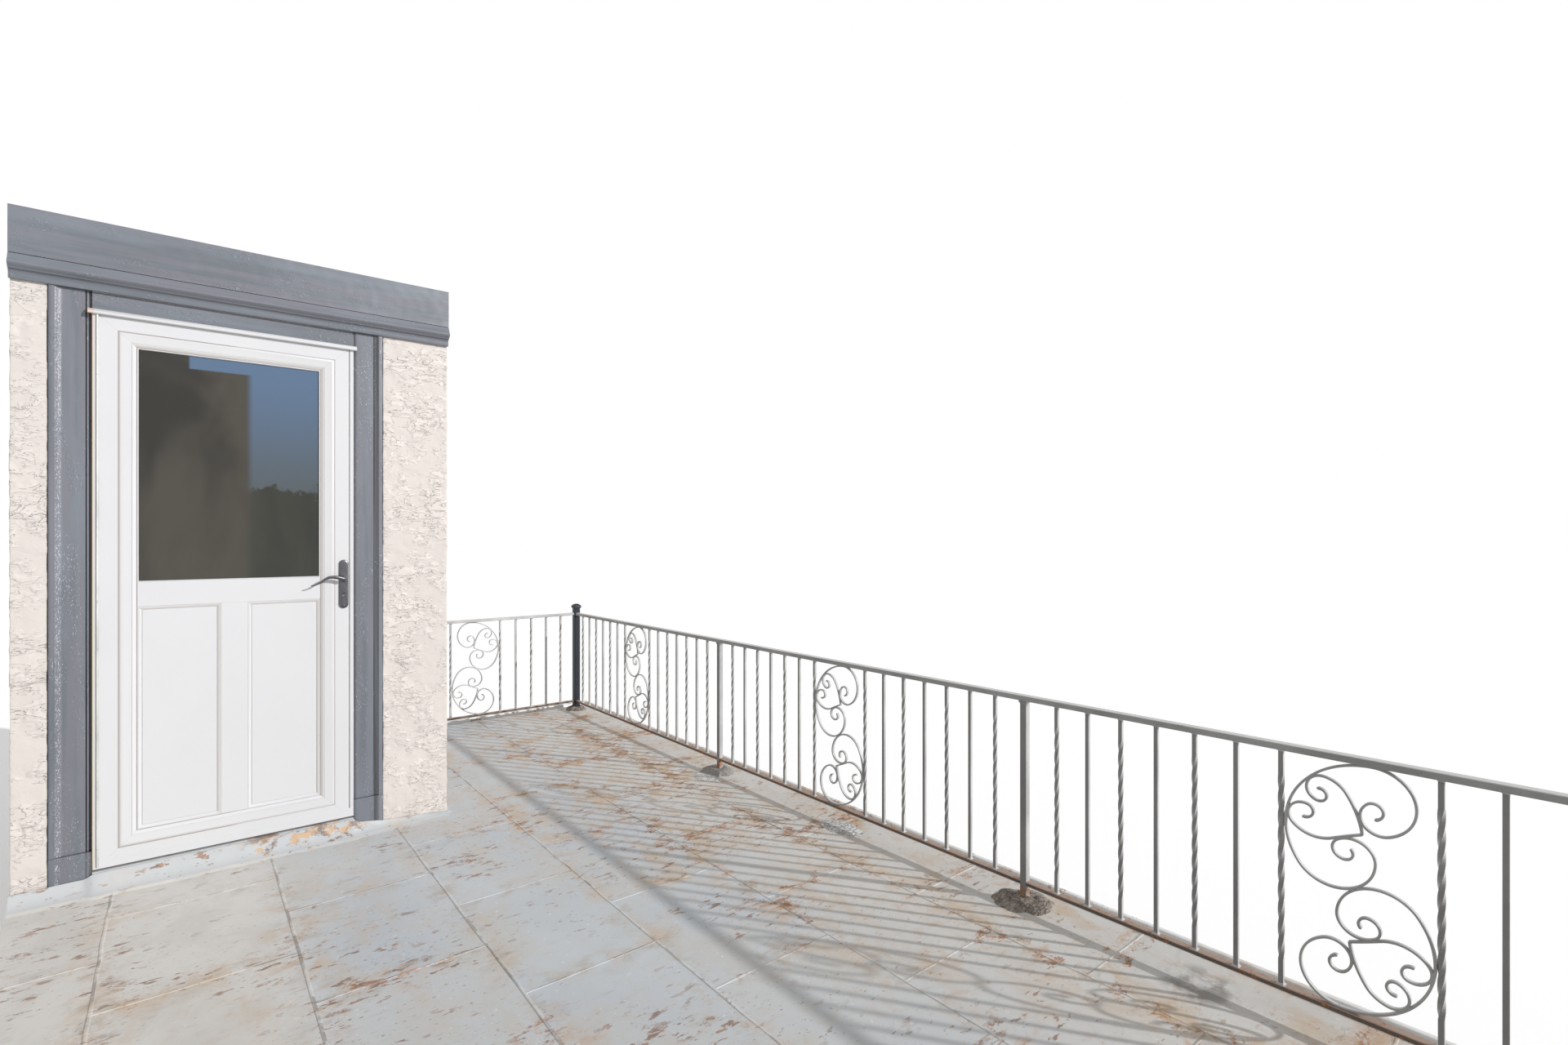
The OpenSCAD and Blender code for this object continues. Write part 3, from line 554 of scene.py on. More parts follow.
def trim_paint(name, colour, level=False):
    """Thick gloss paint on wood, brushed along its length, with beads. The casings have painted glints as
    highlights along the moulded side and the flat, painted shade in the channel and the thin strip beside the
    door on the hinge side, a dusky strip in the step on the other side, and painted shade on the cove of the
    outer band there and at its foot."""
    mat, t, shader, vec = new_material(name)
    upright = vec
    if level:
        upright = node(t, "ShaderNodeMapping", {"Vector": vec, "Rotation": (math.pi / 2, 0, 0)}).outputs[0]
    marks = place_group(t, "Brush Marks", {"Vector": upright})
    wear = place_group(t, "Weathering", {"Vector": vec, "Scale": 4.0})
    base = blend(t, marks["Tone"], rgba(colour, 0.82), rgba(colour, 1.14))
    warm = (colour[0] * 1.16, colour[1] * 1.01, colour[2] * 1.02, 1.0)
    base = blend(t, times(t, marks["Bands"], 0.6), base, warm)
    base = blend(t, rescale(t, marks["Height"], 0.35, 0.8), base, rgba(colour, 1.22))
    base = blend(t, times(t, wear["Specks"], 0.14), base, rgba(colour, 0.45))
    if not level:
        y = parts(t, vec)[1]
        streaks = rescale(t, noise(t, stretched(t, vec, 1, 210, 1.1), 1.0, 3, 0.6), 0.38, 0.62)
        # Painted shade: the strips beside the hinges and in the channel, and on the cove of the outer band
        # and at its foot; the third strip is a dusky tone in the step
        # Middle, half width, strength and colour of each strip
        strips = ((PLAN.y_door_end + 0.0040, 0.0041, 0.9, (0.075, 0.058, 0.046, 1)),
                  (PLAN.y_door_end + 0.0163, 0.0019, 0.9, (0.02, 0.02, 0.02, 1)),
                  (PLAN.y_door - 0.004, 0.0042, 0.6, (0.115, 0.105, 0.125, 1)),
                  (PLAN.y_door - PLAN.casing_w + 0.0245, 0.0078, 0.95, (0.074, 0.071, 0.071, 1)),
                  (PLAN.y_door - PLAN.casing_w + 0.0345, 0.0022, 0.85, (0.02, 0.02, 0.022, 1)))
        for middle, half, amount, tint in strips:
            inside = maths(t, "LESS_THAN", apart(t, y, middle), half)
            some = plus(t, times(t, streaks, 0.45), 0.55)
            base = blend(t, times(t, inside, some, amount), base, tint)
        # Painted glints: light specks in the colour as highlights, along the moulded side of the inner casing
        # and here and there on the flat
        past = apart(t, y, PLAN.y_door_end + PLAN.casing_w - 0.026)
        glint = times(t, rescale(t, past, 0.004, 0.011, 1.0, 0.0),
                      rescale(t, noise(t, stretched(t, vec, 330, 330, 150), 1.0, 2, 0.5), 0.56, 0.62))
        fine = noise(t, stretched(t, vec, 300, 300, 110), 1.0, 2, 0.5)
        some = rescale(t, noise(t, stretched(t, vec, 9, 9, 3), 1.0, 3, 0.6), 0.50, 0.66)
        glint = most(t, glint, times(t, rescale(t, fine, 0.635, 0.67), some))
        base = blend(t, times(t, glint, 0.6), base, (0.60, 0.62, 0.66, 1))
    rough_at = plus(t, times(t, wear["Drift"], 0.14), 0.30)
    finish(t, shader, base, rough_at, marks["Height"], 0.0014, 1.0, Metallic=0.0)
    return mat


def stucco_coat(colour):
    """Off-white painted stucco: slow drifts of tone, painted shade in the low parts of the relief and along
    its torn edges, specks, and grime at the foot.
    """
    mat, t, shader, vec = new_material("stucco_coat")
    grain = place_group(t, "Trowel Grain", {"Vector": vec})
    wear = place_group(t, "Weathering", {"Vector": vec, "Scale": 2.0})
    base = blend(t, grain["Tone"], rgba(colour, 0.96), rgba(colour, 1.02))
    # Painted shade: the low parts of the relief are darker
    base = blend(t, rescale(t, grain["Height"], 0.25, 0.85, 0.28, 0.0), base, rgba(colour, 0.72))
    # Painted shadow lines along the torn edges of the pads
    base = blend(t, times(t, grain["Edge"], 0.45), base, (0.40, 0.33, 0.26, 1))
    base = blend(t, times(t, wear["Specks"], 0.06), base, (0.46, 0.40, 0.34, 1))
    _, y, z = parts(t, vec)
    beyond = rescale(t, y, PLAN.y_door_end, PLAN.y_door_end + 0.05, 0.0, 0.5)
    base = blend(t, beyond, base, rgba(colour, 0.86))
    foot = times(t, rescale(t, z, PLAN.deck_z, PLAN.deck_z + 0.25, 1.0, 0.0),
                 rescale(t, noise(t, vec, 7, 5, 0.6), 0.35, 0.62))
    base = blend(t, times(t, foot, 0.35), base, (0.46, 0.41, 0.36, 1))
    finish(t, shader, base, None, grain["Height"], 0.0042, 1.0, Roughness=0.8)
    return mat


def door_enamel(colour, mitre=None):
    """White baked enamel with faint specks, painted shade on faces turned to the hinges or down, and grime
    with painted shade in the grooves. Mitre gives the door's middle, its half sizes, the reach of the corner
    joints and the place of the groove."""
    mat, t, shader, vec = new_material("door_enamel" if mitre else "frame_enamel")
    wear = place_group(t, "Weathering", {"Vector": vec, "Scale": 2.5})
    base = blend(t, wear["Drift"], rgba(colour, 0.975), rgba(colour, 1.0))
    base = blend(t, times(t, wear["Specks"], 0.05), base, rgba(colour, 0.7))
    height = times(t, wear["Height"], 0.25)
    # Painted shade on the faces turned to the hinges or down, from each face's shade value
    turned = node(t, "ShaderNodeAttribute", attribute_name="shade").outputs["Fac"]
    base = blend(t, times(t, turned, 0.70), base, (0.46, 0.385, 0.31, 1))
    _, y, z = parts(t, vec)
    if not mitre:
        # A stained strip along the frame's outer edge by the hinges
        edge = rescale(t, y, PLAN.y_door_end - 0.0062, PLAN.y_door_end - 0.0050)
        stain = blend(t, rescale(t, noise(t, stretched(t, vec, 1, 1, 3), 1.0, 3, 0.5), 0.4, 0.6),
                      (0.60, 0.53, 0.36, 1), (0.66, 0.49, 0.40, 1))
        base = blend(t, times(t, edge, 0.75), base, stain)
    if mitre:
        y_mid, z_mid, half_w, half_h, reach, groove = mitre
        dy = minus(t, half_w, apart(t, y, y_mid))
        dz = minus(t, half_h, apart(t, z, z_mid))
        line = rescale(t, apart(t, dy, dz), 0.0003, 0.0011, 1.0, 0.0)
        line = times(t, line, maths(t, "LESS_THAN", dy, reach))
        base = blend(t, times(t, line, 0.4), base, (0.34, 0.32, 0.30, 1))
        inset = maths(t, "MINIMUM", dy, dz)
        # Grime and painted shade in the groove and at the moulding's steep side, stronger on the hinge side
        dust_and_shade = plus(t, rescale(t, apart(t, inset, groove), 0.0012, 0.0020, 1.0, 0.0),
                    rescale(t, apart(t, inset, reach - 0.0016), 0.0006, 0.0014, 1.0, 0.0))
        some = rescale(t, y, y_mid - 0.02, y_mid + 0.02, 0.22, 0.68)
        base = blend(t, times(t, dust_and_shade, some), base, (0.27, 0.21, 0.18, 1))
        height = minus(t, height, line)
    finish(t, shader, base, None, height, 0.0004, 0.5, Roughness=0.32)
    return mat


def cement_coat(name, colour, grey=None):
    """Dry roofing cement: dark, matt and cracked into plates, and paler round the place grey along X."""
    mat, t, shader, vec = new_material(name)
    bent = node(t, "ShaderNodeVectorMath", {0: stretched(t, vec, 60, 26, 40), 1: noise(t, vec, 22, 4, 0.6)},
                operation="ADD").outputs[0]
    cells = node(t, "ShaderNodeTexVoronoi", {"Vector": bent, "Scale": 1.0}, feature="DISTANCE_TO_EDGE")
    crack = rescale(t, cells.outputs[0], 0.0, 0.12, 1.0, 0.0)
    lump = noise(t, vec, 60, 5, 0.65)
    base = blend(t, rescale(t, lump, 0.3, 0.7), rgba(colour, 0.7), rgba(colour, 1.5))
    base = blend(t, times(t, crack, 0.75), base, rgba(colour, 0.25))
    dust_and_shade = rescale(t, noise(t, vec, 14, 4, 0.6), 0.42, 0.66)
    base = blend(t, times(t, dust_and_shade, 0.45), base, (0.44, 0.39, 0.34, 1))
    if grey is not None:
        x = parts(t, vec)[0]
        pale = rescale(t, apart(t, x, grey), 0.3, 0.5, 0.65, 0.0)
        base = blend(t, pale, base, (0.34, 0.335, 0.325, 1))
    height = minus(t, times(t, lump, 0.7), times(t, crack, 0.8))
    finish(t, shader, base, None, height, 0.003, 0.8, Roughness=0.88)
    return mat


def deck_timber(colour):
    """Sawn softwood with its grain along X, and the lines between boards."""
    mat, t, shader, vec = new_material("deck_timber")
    grain = noise(t, stretched(t, vec, 3.5, 60, 60), 1.0, 5, 0.6, 0.6)
    knots = rescale(t, noise(t, vec, 6, 3, 0.5), 0.62, 0.72)
    base = blend(t, rescale(t, grain, 0.3, 0.7), rgba(colour, 0.72), rgba(colour, 1.2))
    base = blend(t, times(t, knots, 0.4), base, rgba(colour, 0.45))
    y = parts(t, vec)[1]
    gap = rescale(t, maths(t, "PINGPONG", y, 0.07), 0.0, 0.003, 1.0, 0.0)
    base = blend(t, times(t, gap, 0.55), base, rgba(colour, 0.2))
    finish(t, shader, base, None, minus(t, grain, gap), 0.0012, 0.8, Roughness=0.72)
    return mat


def glass_pane():
    """Glossy pane whose colour holds a painted reflection: dark, brown below and on the hinge side, with sky
    in the upper corner and in a strip along the top, over a ragged dark line."""
    mat, t, shader, vec = new_material("pane_glass")
    low, high = PLAN.box["door_glass"]
    _, y, z = parts(t, vec)
    up = rescale(t, z, low[2] + 0.25, high[2], 0.0, 1.0)
    over = rescale(t, y, low[1] + 0.235, low[1] + 0.265, 1.0, 0.0)
    ragged = times(t, noise(t, stretched(t, vec, 1, 9, 7), 1.0, 7, 0.7), 0.34)
    above = rescale(t, plus(t, z, ragged), low[2] + 0.54, low[2] + 0.57)
    # Painted reflection: dark brown tones, and sky above a ragged line and in a strip along the top
    drift = rescale(t, noise(t, stretched(t, vec, 1, 3.0, 1.4), 1.0, 3, 0.5, 0.8), 0.35, 0.65)
    reflected_room = blend(t, drift, (0.024, 0.022, 0.018, 1), (0.060, 0.053, 0.042, 1))
    sky = blend(t, up, (0.075, 0.088, 0.092, 1), (0.092, 0.148, 0.24, 1))
    reflected_room = blend(t, times(t, over, 0.5), reflected_room, (0.028, 0.034, 0.024, 1))
    strip = times(t, rescale(t, z, high[2] - 0.058, high[2] - 0.052),
                  rescale(t, y, low[1] + 0.44, low[1] + 0.45, 1.0, 0.0))
    colour = blend(t, most(t, times(t, over, above), strip), reflected_room, sky)
    finish(t, shader, colour, None, None, Roughness=0.03, IOR=1.45, Transmission_Weight=0.05, Metallic=0.0)
    return mat


def brushed_nickel():
    """Satin nickel with fine marks along the plate."""
    mat, t, shader, vec = new_material("satin_nickel")
    marks = noise(t, stretched(t, vec, 900, 900, 40), 1.0, 2, 0.5)
    base = blend(t, rescale(t, marks, 0.3, 0.7), (0.095, 0.095, 0.108, 1), (0.165, 0.163, 0.175, 1))
    finish(t, shader, base, rescale(t, marks, 0.3, 0.7, 0.24, 0.38), marks, 0.0002, 0.4, Metallic=1.0)
    return mat


def a_length(name, description, default):
    """A property for a length in metres."""
    return bpy.props.FloatProperty(name=name, description=description, default=default, unit="LENGTH")


def a_colour(name, description, *default):
    """A property for a colour."""
    return bpy.props.FloatVectorProperty(name=name, description=description, subtype="COLOR", default=default)


class BalconyFinishes(bpy.types.PropertyGroup):
    """Colours of the finishes and the lay of the roof sheets"""
    deck_colour: a_colour("Deck paint", "Palest tone of the roof paint", 0.54, 0.568, 0.59)
    deck_colour_2: a_colour("Deck paint, blue", "Bluest tone of the roof paint", 0.475, 0.518, 0.567)
    deck_colour_3: a_colour(
        "Deck paint, worn", "Tone of the roof paint where it is worn", 0.588, 0.561, 0.523)
    rail_colour: a_colour("Railing", "Weathered steel of the railing", 0.47, 0.47, 0.465)
    post_colour: a_colour("Corner posts", "Dark paint of the corner posts", 0.016, 0.019, 0.027)
    trim_colour: a_colour("Trim", "Grey-blue gloss paint", 0.158, 0.175, 0.201)
    stucco_colour: a_colour("Stucco", "Off-white paint on the stucco", 0.70, 0.645, 0.605)
    door_colour: a_colour("Door", "White enamel", 0.632, 0.632, 0.645)
    cement_colour: a_colour("Roof cement", "Dry roofing cement", 0.215, 0.182, 0.155)
    timber_colour: a_colour("Timber", "Joists and boards", 0.46, 0.34, 0.22)
    deck_rust: bpy.props.FloatProperty(
        name="Deck rust", description="Rust on every part of the deck", default=0.17, min=0.0, max=1.0)
    seam_lines: bpy.props.FloatVectorProperty(
        name="Long seams", description="From the railing to each long seam of the roof", size=6,
        unit="LENGTH", default=(0.27, 0.715, 1.18, 1.62, 2.098, 2.59))
    sheet_l: a_length("Sheet length", "Between two cross seams", 0.67)
    first_joint: a_length("First joint", "Where one cross seam of the odd rows lies", -0.36)


class BalconyRailing(bpy.types.PropertyGroup):
    """Sizes of the railing's fine pieces"""
    picket: a_length("Picket", "Side of the square pickets", 0.0127)
    plain_end: a_length("Plain end", "Untwisted length at each end", 0.070)
    twist: bpy.props.FloatProperty(
        name="Twist", description="Turn of a twisted picket", default=math.radians(900), subtype="ANGLE")
    bar_t: a_length("Scroll bar thickness", "Thickness of the scroll's flat bar", 0.0064)
    bar_w: a_length("Scroll bar width", "Width of the scroll's flat bar", 0.0124)
    weld: a_length("Weld", "Size of a weld bead", 0.0045)
    mound_x: a_length("Mound length", "Half length of a cement mound along the railing", 0.105)
    mound_y: a_length("Mound width", "Half width of a cement mound", 0.096)
    mound_h: a_length("Mound height", "Height of a cement mound", 0.022)


class BalconyWall(bpy.types.PropertyGroup):
    """Sizes of the wall, the trim and the deck's skin"""
    relief: a_length("Stucco relief", "Depth of the trowel's relief", 0.0040)
    grid: a_length("Stucco grid", "Spacing of the points on the stucco", 0.012)
    paint_relief: a_length("Paint relief", "Unevenness of the thick paint", 0.0012)
    seam_w: a_length("Seam width", "Width of a flat seam in the roof", 0.011)
    seam_h: a_length("Seam height", "Height of a flat seam", 0.0010)
    lip_w: a_length("Lip width", "Width of the turned-up edge of the roof", 0.024)
    lip_h: a_length("Lip height", "Height of this edge above the deck", 0.022)
    flash_low: a_length("Flashing at the corner", "Height of the turned-up metal at the house corner", 0.012)
    flash_high: a_length("Flashing at the door", "Height of the turned-up metal under the door", 0.074)


class BalconyDoor(bpy.types.PropertyGroup):
    """Sizes of the storm door's mouldings and lever"""
    flat: a_length("Flat edge", "Flat width round the leaf, out to the groove", 0.055)
    field: a_length("Edge to field", "From the leaf's edge to its sunk field", 0.110)
    drop: a_length("Depth of moulding", "How deep the moulding goes", 0.008)
    sweep: a_length("Bottom strip", "Height of the strip under the leaf", 0.038)
    mullion: a_length("Upright", "Width between the lower panels", 0.088)
    panel_bevel: a_length("Panel edge", "Width of each panel's edge", 0.015)
    panel_drop: a_length("Panel depth", "How deep a panel lies", 0.005)
    lever: a_length("Lever", "Length of the lever", 0.128)


class BalconyStage(bpy.types.PropertyGroup):
    """The camera and the light"""
    back_x: a_length("Camera back", "From the far corner post along the railing", 5.4452)
    back_y: a_length("Camera in", "From the railing towards the house", 2.4022)
    eye: a_length("Eye height", "Above the deck", 1.3287)
    heading: bpy.props.FloatProperty(
        name="Heading", description="Turn of the view from the railing's line", default=0.6916,
        subtype="ANGLE")
    lens: bpy.props.FloatProperty(
        name="Lens", description="Focal length in millimetres on a 36 mm frame", default=16.836)
    shift: bpy.props.FloatProperty(
        name="Rise", description="Upward shift of the view, as a share of its width", default=0.0105)
    sky: bpy.props.FloatProperty(
        name="Sky", description="Strength of the light from all round", default=0.52)
    key: bpy.props.FloatProperty(
        name="Key light", description="Strength of the low lamp on the street side", default=3.0)
    softness: bpy.props.FloatProperty(
        name="Softness", description="How wide that lamp looks", default=0.016, subtype="ANGLE")
    sun_from: bpy.props.FloatVectorProperty(
        name="Light from", description="Direction towards that lamp", subtype="DIRECTION",
        default=(-0.757, -0.525, 0.388))


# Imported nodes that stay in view, by the finish they get
DRESSED_NODES = {
    "timber": ("joists_main", "joists_wing", "ledgers", "deck_boards_main", "deck_boards_wing"),
    "roof": ("threshold",),
    "board": ("fascia_front", "fascia_far", "fascia_near", "casing_head"),
    "top": ("top_rail_front", "top_rail_far", "top_rail_near"),
    "rail": ("wall_plates",),
    "rusty": ("bottom_rail_front", "bottom_rail_far", "bottom_rail_near"),
    "stucco": ("wall_head", "wall_sill"),
    "sill": ("hinge_bar",),
    "glass": ("door_glass",),
}


class BALCONY_OT_finishes(bpy.types.Operator):
    """Makes the finishes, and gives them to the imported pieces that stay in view"""
    bl_idname = "balcony.finishes"
    bl_label = "Finishes"

    def execute(self, context):
        s, door, p = context.scene.balcony_finishes, context.scene.balcony_door, PLAN
        build_groups()
        leaf = p.box["door_leaf"]
        half, mid = (leaf[1] - leaf[0]) / 2, leaf.mean(0)
        top_z = p.box["top_rail_front"][1][2]
        # Upper-face colours: a painted highlight for the top rail, rust for the bottom rail
        lit_top, rust = (0.57, 0.57, 0.56), (0.40, 0.29, 0.235)
        brown, zinc = (0.125, 0.098, 0.082), (0.62, 0.62, 0.61)
        mitre = (mid[1], mid[2], half[1], half[2], door.field, door.flat + 0.0012)
        grey_mound = p.x_far - 1.9665  # the third line post, whose mound is paler
        FINISHES.update(
            roof=roof_paint(s),
            # Whitened: partly white paint, partly painted light on the turned-up edge
            kerb=roof_paint(s, "pale_kerb_paint", 0.75),
            rail=metal_paint("weathered_rail", s.rail_colour, 0.16, 26.0, 0.42, p.low_z),
            top=metal_paint("top_rail_wear_and_highlight", s.rail_colour, 0.16, 26.0, 0.42, top=(top_z, lit_top)),
            rusty=metal_paint("rusty_rail", brown, 0.46, 30.0, 0.6, top=(p.low_z, rust)),
            post=metal_paint("dark_post_paint", s.post_colour, 0.06, 20.0, 0.45, p.deck_z),
            trim=trim_paint("trim_gloss", s.trim_colour),
            board=trim_paint("board_gloss", s.trim_colour, True),
            stucco=stucco_coat(s.stucco_colour),
            leaf=door_enamel(s.door_colour, mitre),
            frame=door_enamel(s.door_colour),
            cement=cement_coat("roof_cement", s.cement_colour, grey_mound),
            patch=cement_coat("silver_patch", (0.60, 0.60, 0.595)),
            timber=deck_timber(s.timber_colour),
            glass=glass_pane(),
            nickel=brushed_nickel(),
            sill=metal_paint("hinge_metal", zinc, 0.02, 30.0, 0.4, None, 0.5))
        for paint, names in DRESSED_NODES.items():
            for name in names:
                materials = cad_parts[name].data.materials
                materials.clear()
                materials.append(FINISHES[paint])
        return {"FINISHED"}


EASED = 0.09  # radius of a picket's corners, as a share of its side


def twisted_bar(size, length, end, twist):
    """Square bar, corners eased, that turns evenly from 0 to twist between its two plain ends."""
    z = np.r_[0.0, end, np.linspace(end, length - end, int(twist / math.radians(13)))[1:], length]
    turn = np.clip((z - end) / (length - 2 * end), 0, 1) * twist
    outline = rounded_box_outline(size, size, size * EASED, 1)
    c, s = np.cos(turn)[:, None], np.sin(turn)[:, None]
    x = outline[None, :, 0] * c - outline[None, :, 1] * s
    y = outline[None, :, 0] * s + outline[None, :, 1] * c
    return rings(np.stack([x, y, np.broadcast_to(z[:, None], x.shape)], -1))


PANELS = (("front", 0), ("far", 1), ("near", 1))  # sides of the railing, and the axis each runs along


class BALCONY_OT_pickets(bpy.types.Operator):
    """Twisted and plain pickets with a small weld at each end"""
    bl_idname = "balcony.pickets"
    bl_label = "Pickets"

    def execute(self, context):
        s, p = context.scene.balcony_railing, PLAN
        length = p.high_z - p.low_z
        twisted = twisted_bar(s.picket, length, s.plain_end, s.twist)
        r = s.picket / 2
        plain = square_loft([(r, s.picket * EASED, z) for z in (0.0, length)], 1)
        low = square_loft([(r + s.weld, 0.002, 0.0), (r + s.weld * 0.55, 0.002, s.weld * 0.35),
                           (r, 0.001, s.weld)], 2)
        high = (low[0] * [1, 1, -1] + [0, 0, length], low[1])
        welds = []
        for panel, axis in PANELS:
            for kind, shape in (("twisted", twisted), ("plain", plain)):
                name = f"{kind}_pickets_{panel}"
                spots = stands(name, axis, s.picket * 2, p.low_z)
                # shade: painted shade on the faces turned inwards from the street
                make_piece(f"{kind}_bars_{panel}", repeat(shape, spots), "rail", (name,),
                           shade="soot")
                welds += [repeat(low, spots), repeat(high, spots)]
        make_piece("picket_welds", join(welds), "rail")
        return {"FINISHED"}


MM = 0.001             # the scroll is drawn in millimetres
DRAWN_HEIGHT = 0.662   # its height as drawn, in metres
# Bars of one half scroll: start, heading and arcs of (radius, turn)
HALF_SCROLL = (
    ((34.4, 328.5), 180.0, ((193.5, 123), (92.1, 143.2), (51.1, 130.6), (27, 141.2), (18.7, 137.4))),
    ((34.4, 328.5), 0.0, ((89.5, -156.9), (43.6, -160.5), (20.8, -214.5))),
    ((13.7, 146.2), 97.1, ((254.9, 24), (69.7, 48.5), (35.4, 169), (17.2, 215.5))),
    ((13.7, 146.2), 201.4, ((960, 4.3), (76.9, -76), (35.6, -144.3), (19, -184.7))),
)
SCROLL_WELDS = ((0, 0), (34.4, 328.5), (11.7, 146.2), (-103, 268.3), (-154, 168), (-41.3, 120.2),
                (8.5, 183.5))
CURL, TIP = 0.024, 0.002   # a bar thickens over its last curl, and narrows at its tip
BEAD_R, BEAD_W = 0.0046, 0.0066   # weld bead: radius, and half width across the bar


def arc_chain(start, heading, arcs, step=0.0035):
    """Points and headings along tangent arcs, each centre one radius to the side of the heading."""
    at, h = np.array(start, float) * MM, math.radians(heading)
    points, headings = [at[None]], [np.array([h])]
    for radius, turn in arcs:
        r, a = radius * MM, math.radians(turn)
        n = max(int(abs(a) * r / step), int(abs(a) / 0.2), 2)
        g = h + np.linspace(0, a, n + 1)[1:]
        side = math.copysign(1.0, a)
        centre = at + side * r * np.array([-math.sin(h), math.cos(h)])
        arc = centre + side * r * np.stack([np.sin(g), -np.cos(g)], -1)
        points.append(arc)
        headings.append(g)
        at, h = arc[-1], g[-1]
    return np.concatenate(points), np.concatenate(headings)


def scroll_shape(height, bar_t, bar_w):
    """A whole scroll about its middle in the XZ plane: flat bars on the arcs, thicker at the curled tips, and
    weld beads where bars touch. The second half is the first, turned by half a turn."""
    k = height / DRAWN_HEIGHT
    shapes = []
    for start, heading, arcs in HALF_SCROLL:
        xy, g = arc_chain(start, heading, arcs)
        gone = np.r_[0, np.cumsum(np.hypot(*np.diff(xy, axis=0).T))]
        left = gone[-1] - gone
        swell = 1 + 0.22 * ramp(CURL - left, 0.0, CURL) - 0.35 * ramp(TIP - left, 0, TIP)
        path = np.stack([xy[:, 0] * k, np.zeros(len(xy)), xy[:, 1] * k], -1)
        side = np.stack([-np.sin(g), np.zeros(len(g)), np.cos(g)], -1)
        up = np.tile([0.0, 1.0, 0.0], (len(g), 1))
        outline = rounded_box_outline(bar_t, bar_w, bar_t * 0.22, 2)
        shapes.append(sweep(path, side, up, outline, np.stack([swell, 1 + (swell - 1) * 0.15], -1)))
    lon, lat = circle(10), np.linspace(-math.pi / 2 + 0.25, math.pi / 2 - 0.25, 6)
    bead = np.stack([np.outer(np.cos(lat), np.cos(lon)) * BEAD_R,
                     np.outer(np.sin(lat), np.ones(len(lon))) * BEAD_W,
                     np.outer(np.cos(lat), np.sin(lon)) * BEAD_R], -1)
    spots = np.array([[x * k * MM, 0, z * k * MM] for x, z in SCROLL_WELDS])
    shapes.append(repeat(rings(bead), spots))
    half = join(shapes)
    return join([half, (half[0] * [-1, 1, -1], half[1])])


class BALCONY_OT_scrolls(bpy.types.Operator):
    """Scrolls of flat bar bent in tangent arcs"""
    bl_idname = "balcony.scrolls"
    bl_label = "Scrolls"

    def execute(self, context):
        s, p = context.scene.balcony_railing, PLAN
        points, faces = scroll_shape(p.high_z - p.low_z, s.bar_t, s.bar_w)
        for name, (panel, axis) in zip(("scrolls_front", "scroll_far", "scrolls_near"), PANELS):
            v = points * [-1, 1, 1]
            if axis == 1:
                v = np.stack([-points[:, 1], points[:, 0], points[:, 2]], -1)
            spots = stands(name, axis, 0.3, (p.high_z + p.low_z) / 2)
            # shade: a fainter painted shade on the bars' faces turned inwards from the street
            make_piece(f"scroll_bars_{panel}", repeat((v, faces), spots), "rail", (name,),
                       angle=40, shade="faint")
        return {"FINISHED"}


def cement_mound(half_x, half_y, height, seed):
    """Mound of trowelled cement: height falls with the distance from the middle, on an outline and a top
    that wander a little."""
    rng = np.random.default_rng(seed)
    a = circle(72)
    wander = 1 + sum(rng.uniform(-0.65, 0.65) * k * np.sin(n * a + rng.uniform(0, 6)) for n, k in (
        (2, 0.16), (3, 0.14), (4, 0.10), (6, 0.08), (9, 0.07), (13, 0.06), (19, 0.05)))
    u = np.r_[0.03, np.linspace(0.12, 1.0, 17)]
    x = np.outer(u, np.cos(a) * half_x * wander)
    y = np.outer(u, np.sin(a) * half_y * wander)
    spot = np.c_[x.ravel() + seed, y.ravel(), np.zeros(x.size)]
    plates = np.floor(value_noise(spot, 0.038, seed) * 4.5) / 4.5
    bumps = 0.30 * value_noise(spot, 0.034, seed) + 0.62 * plates + 0.25 * value_noise(spot, 0.012, seed + 1)
    fall = np.clip((1 - u[:, None] ** 3) * 1.15, 0, 1)
    z = height * fall * (0.45 + 0.75 * bumps.reshape(x.shape)) - 0.0012 * (u[:, None] > 0.99)
    return rings(np.stack([x, y, z], -1))


CAP_H = 0.034        # height of a corner post's cap
POST_SHARE = 0.767   # a corner post's width, as a share of its cap's
FOOT_IN = 0.014      # a front mound's middle lies this far inside the railing
# Smears of silver cement: x, distance in from the railing, half length, half width, seed
SMEARS = ((-0.06, 0.045, 0.115, 0.075, 51), (0.93, 0.13, 0.10, 0.06, 53))


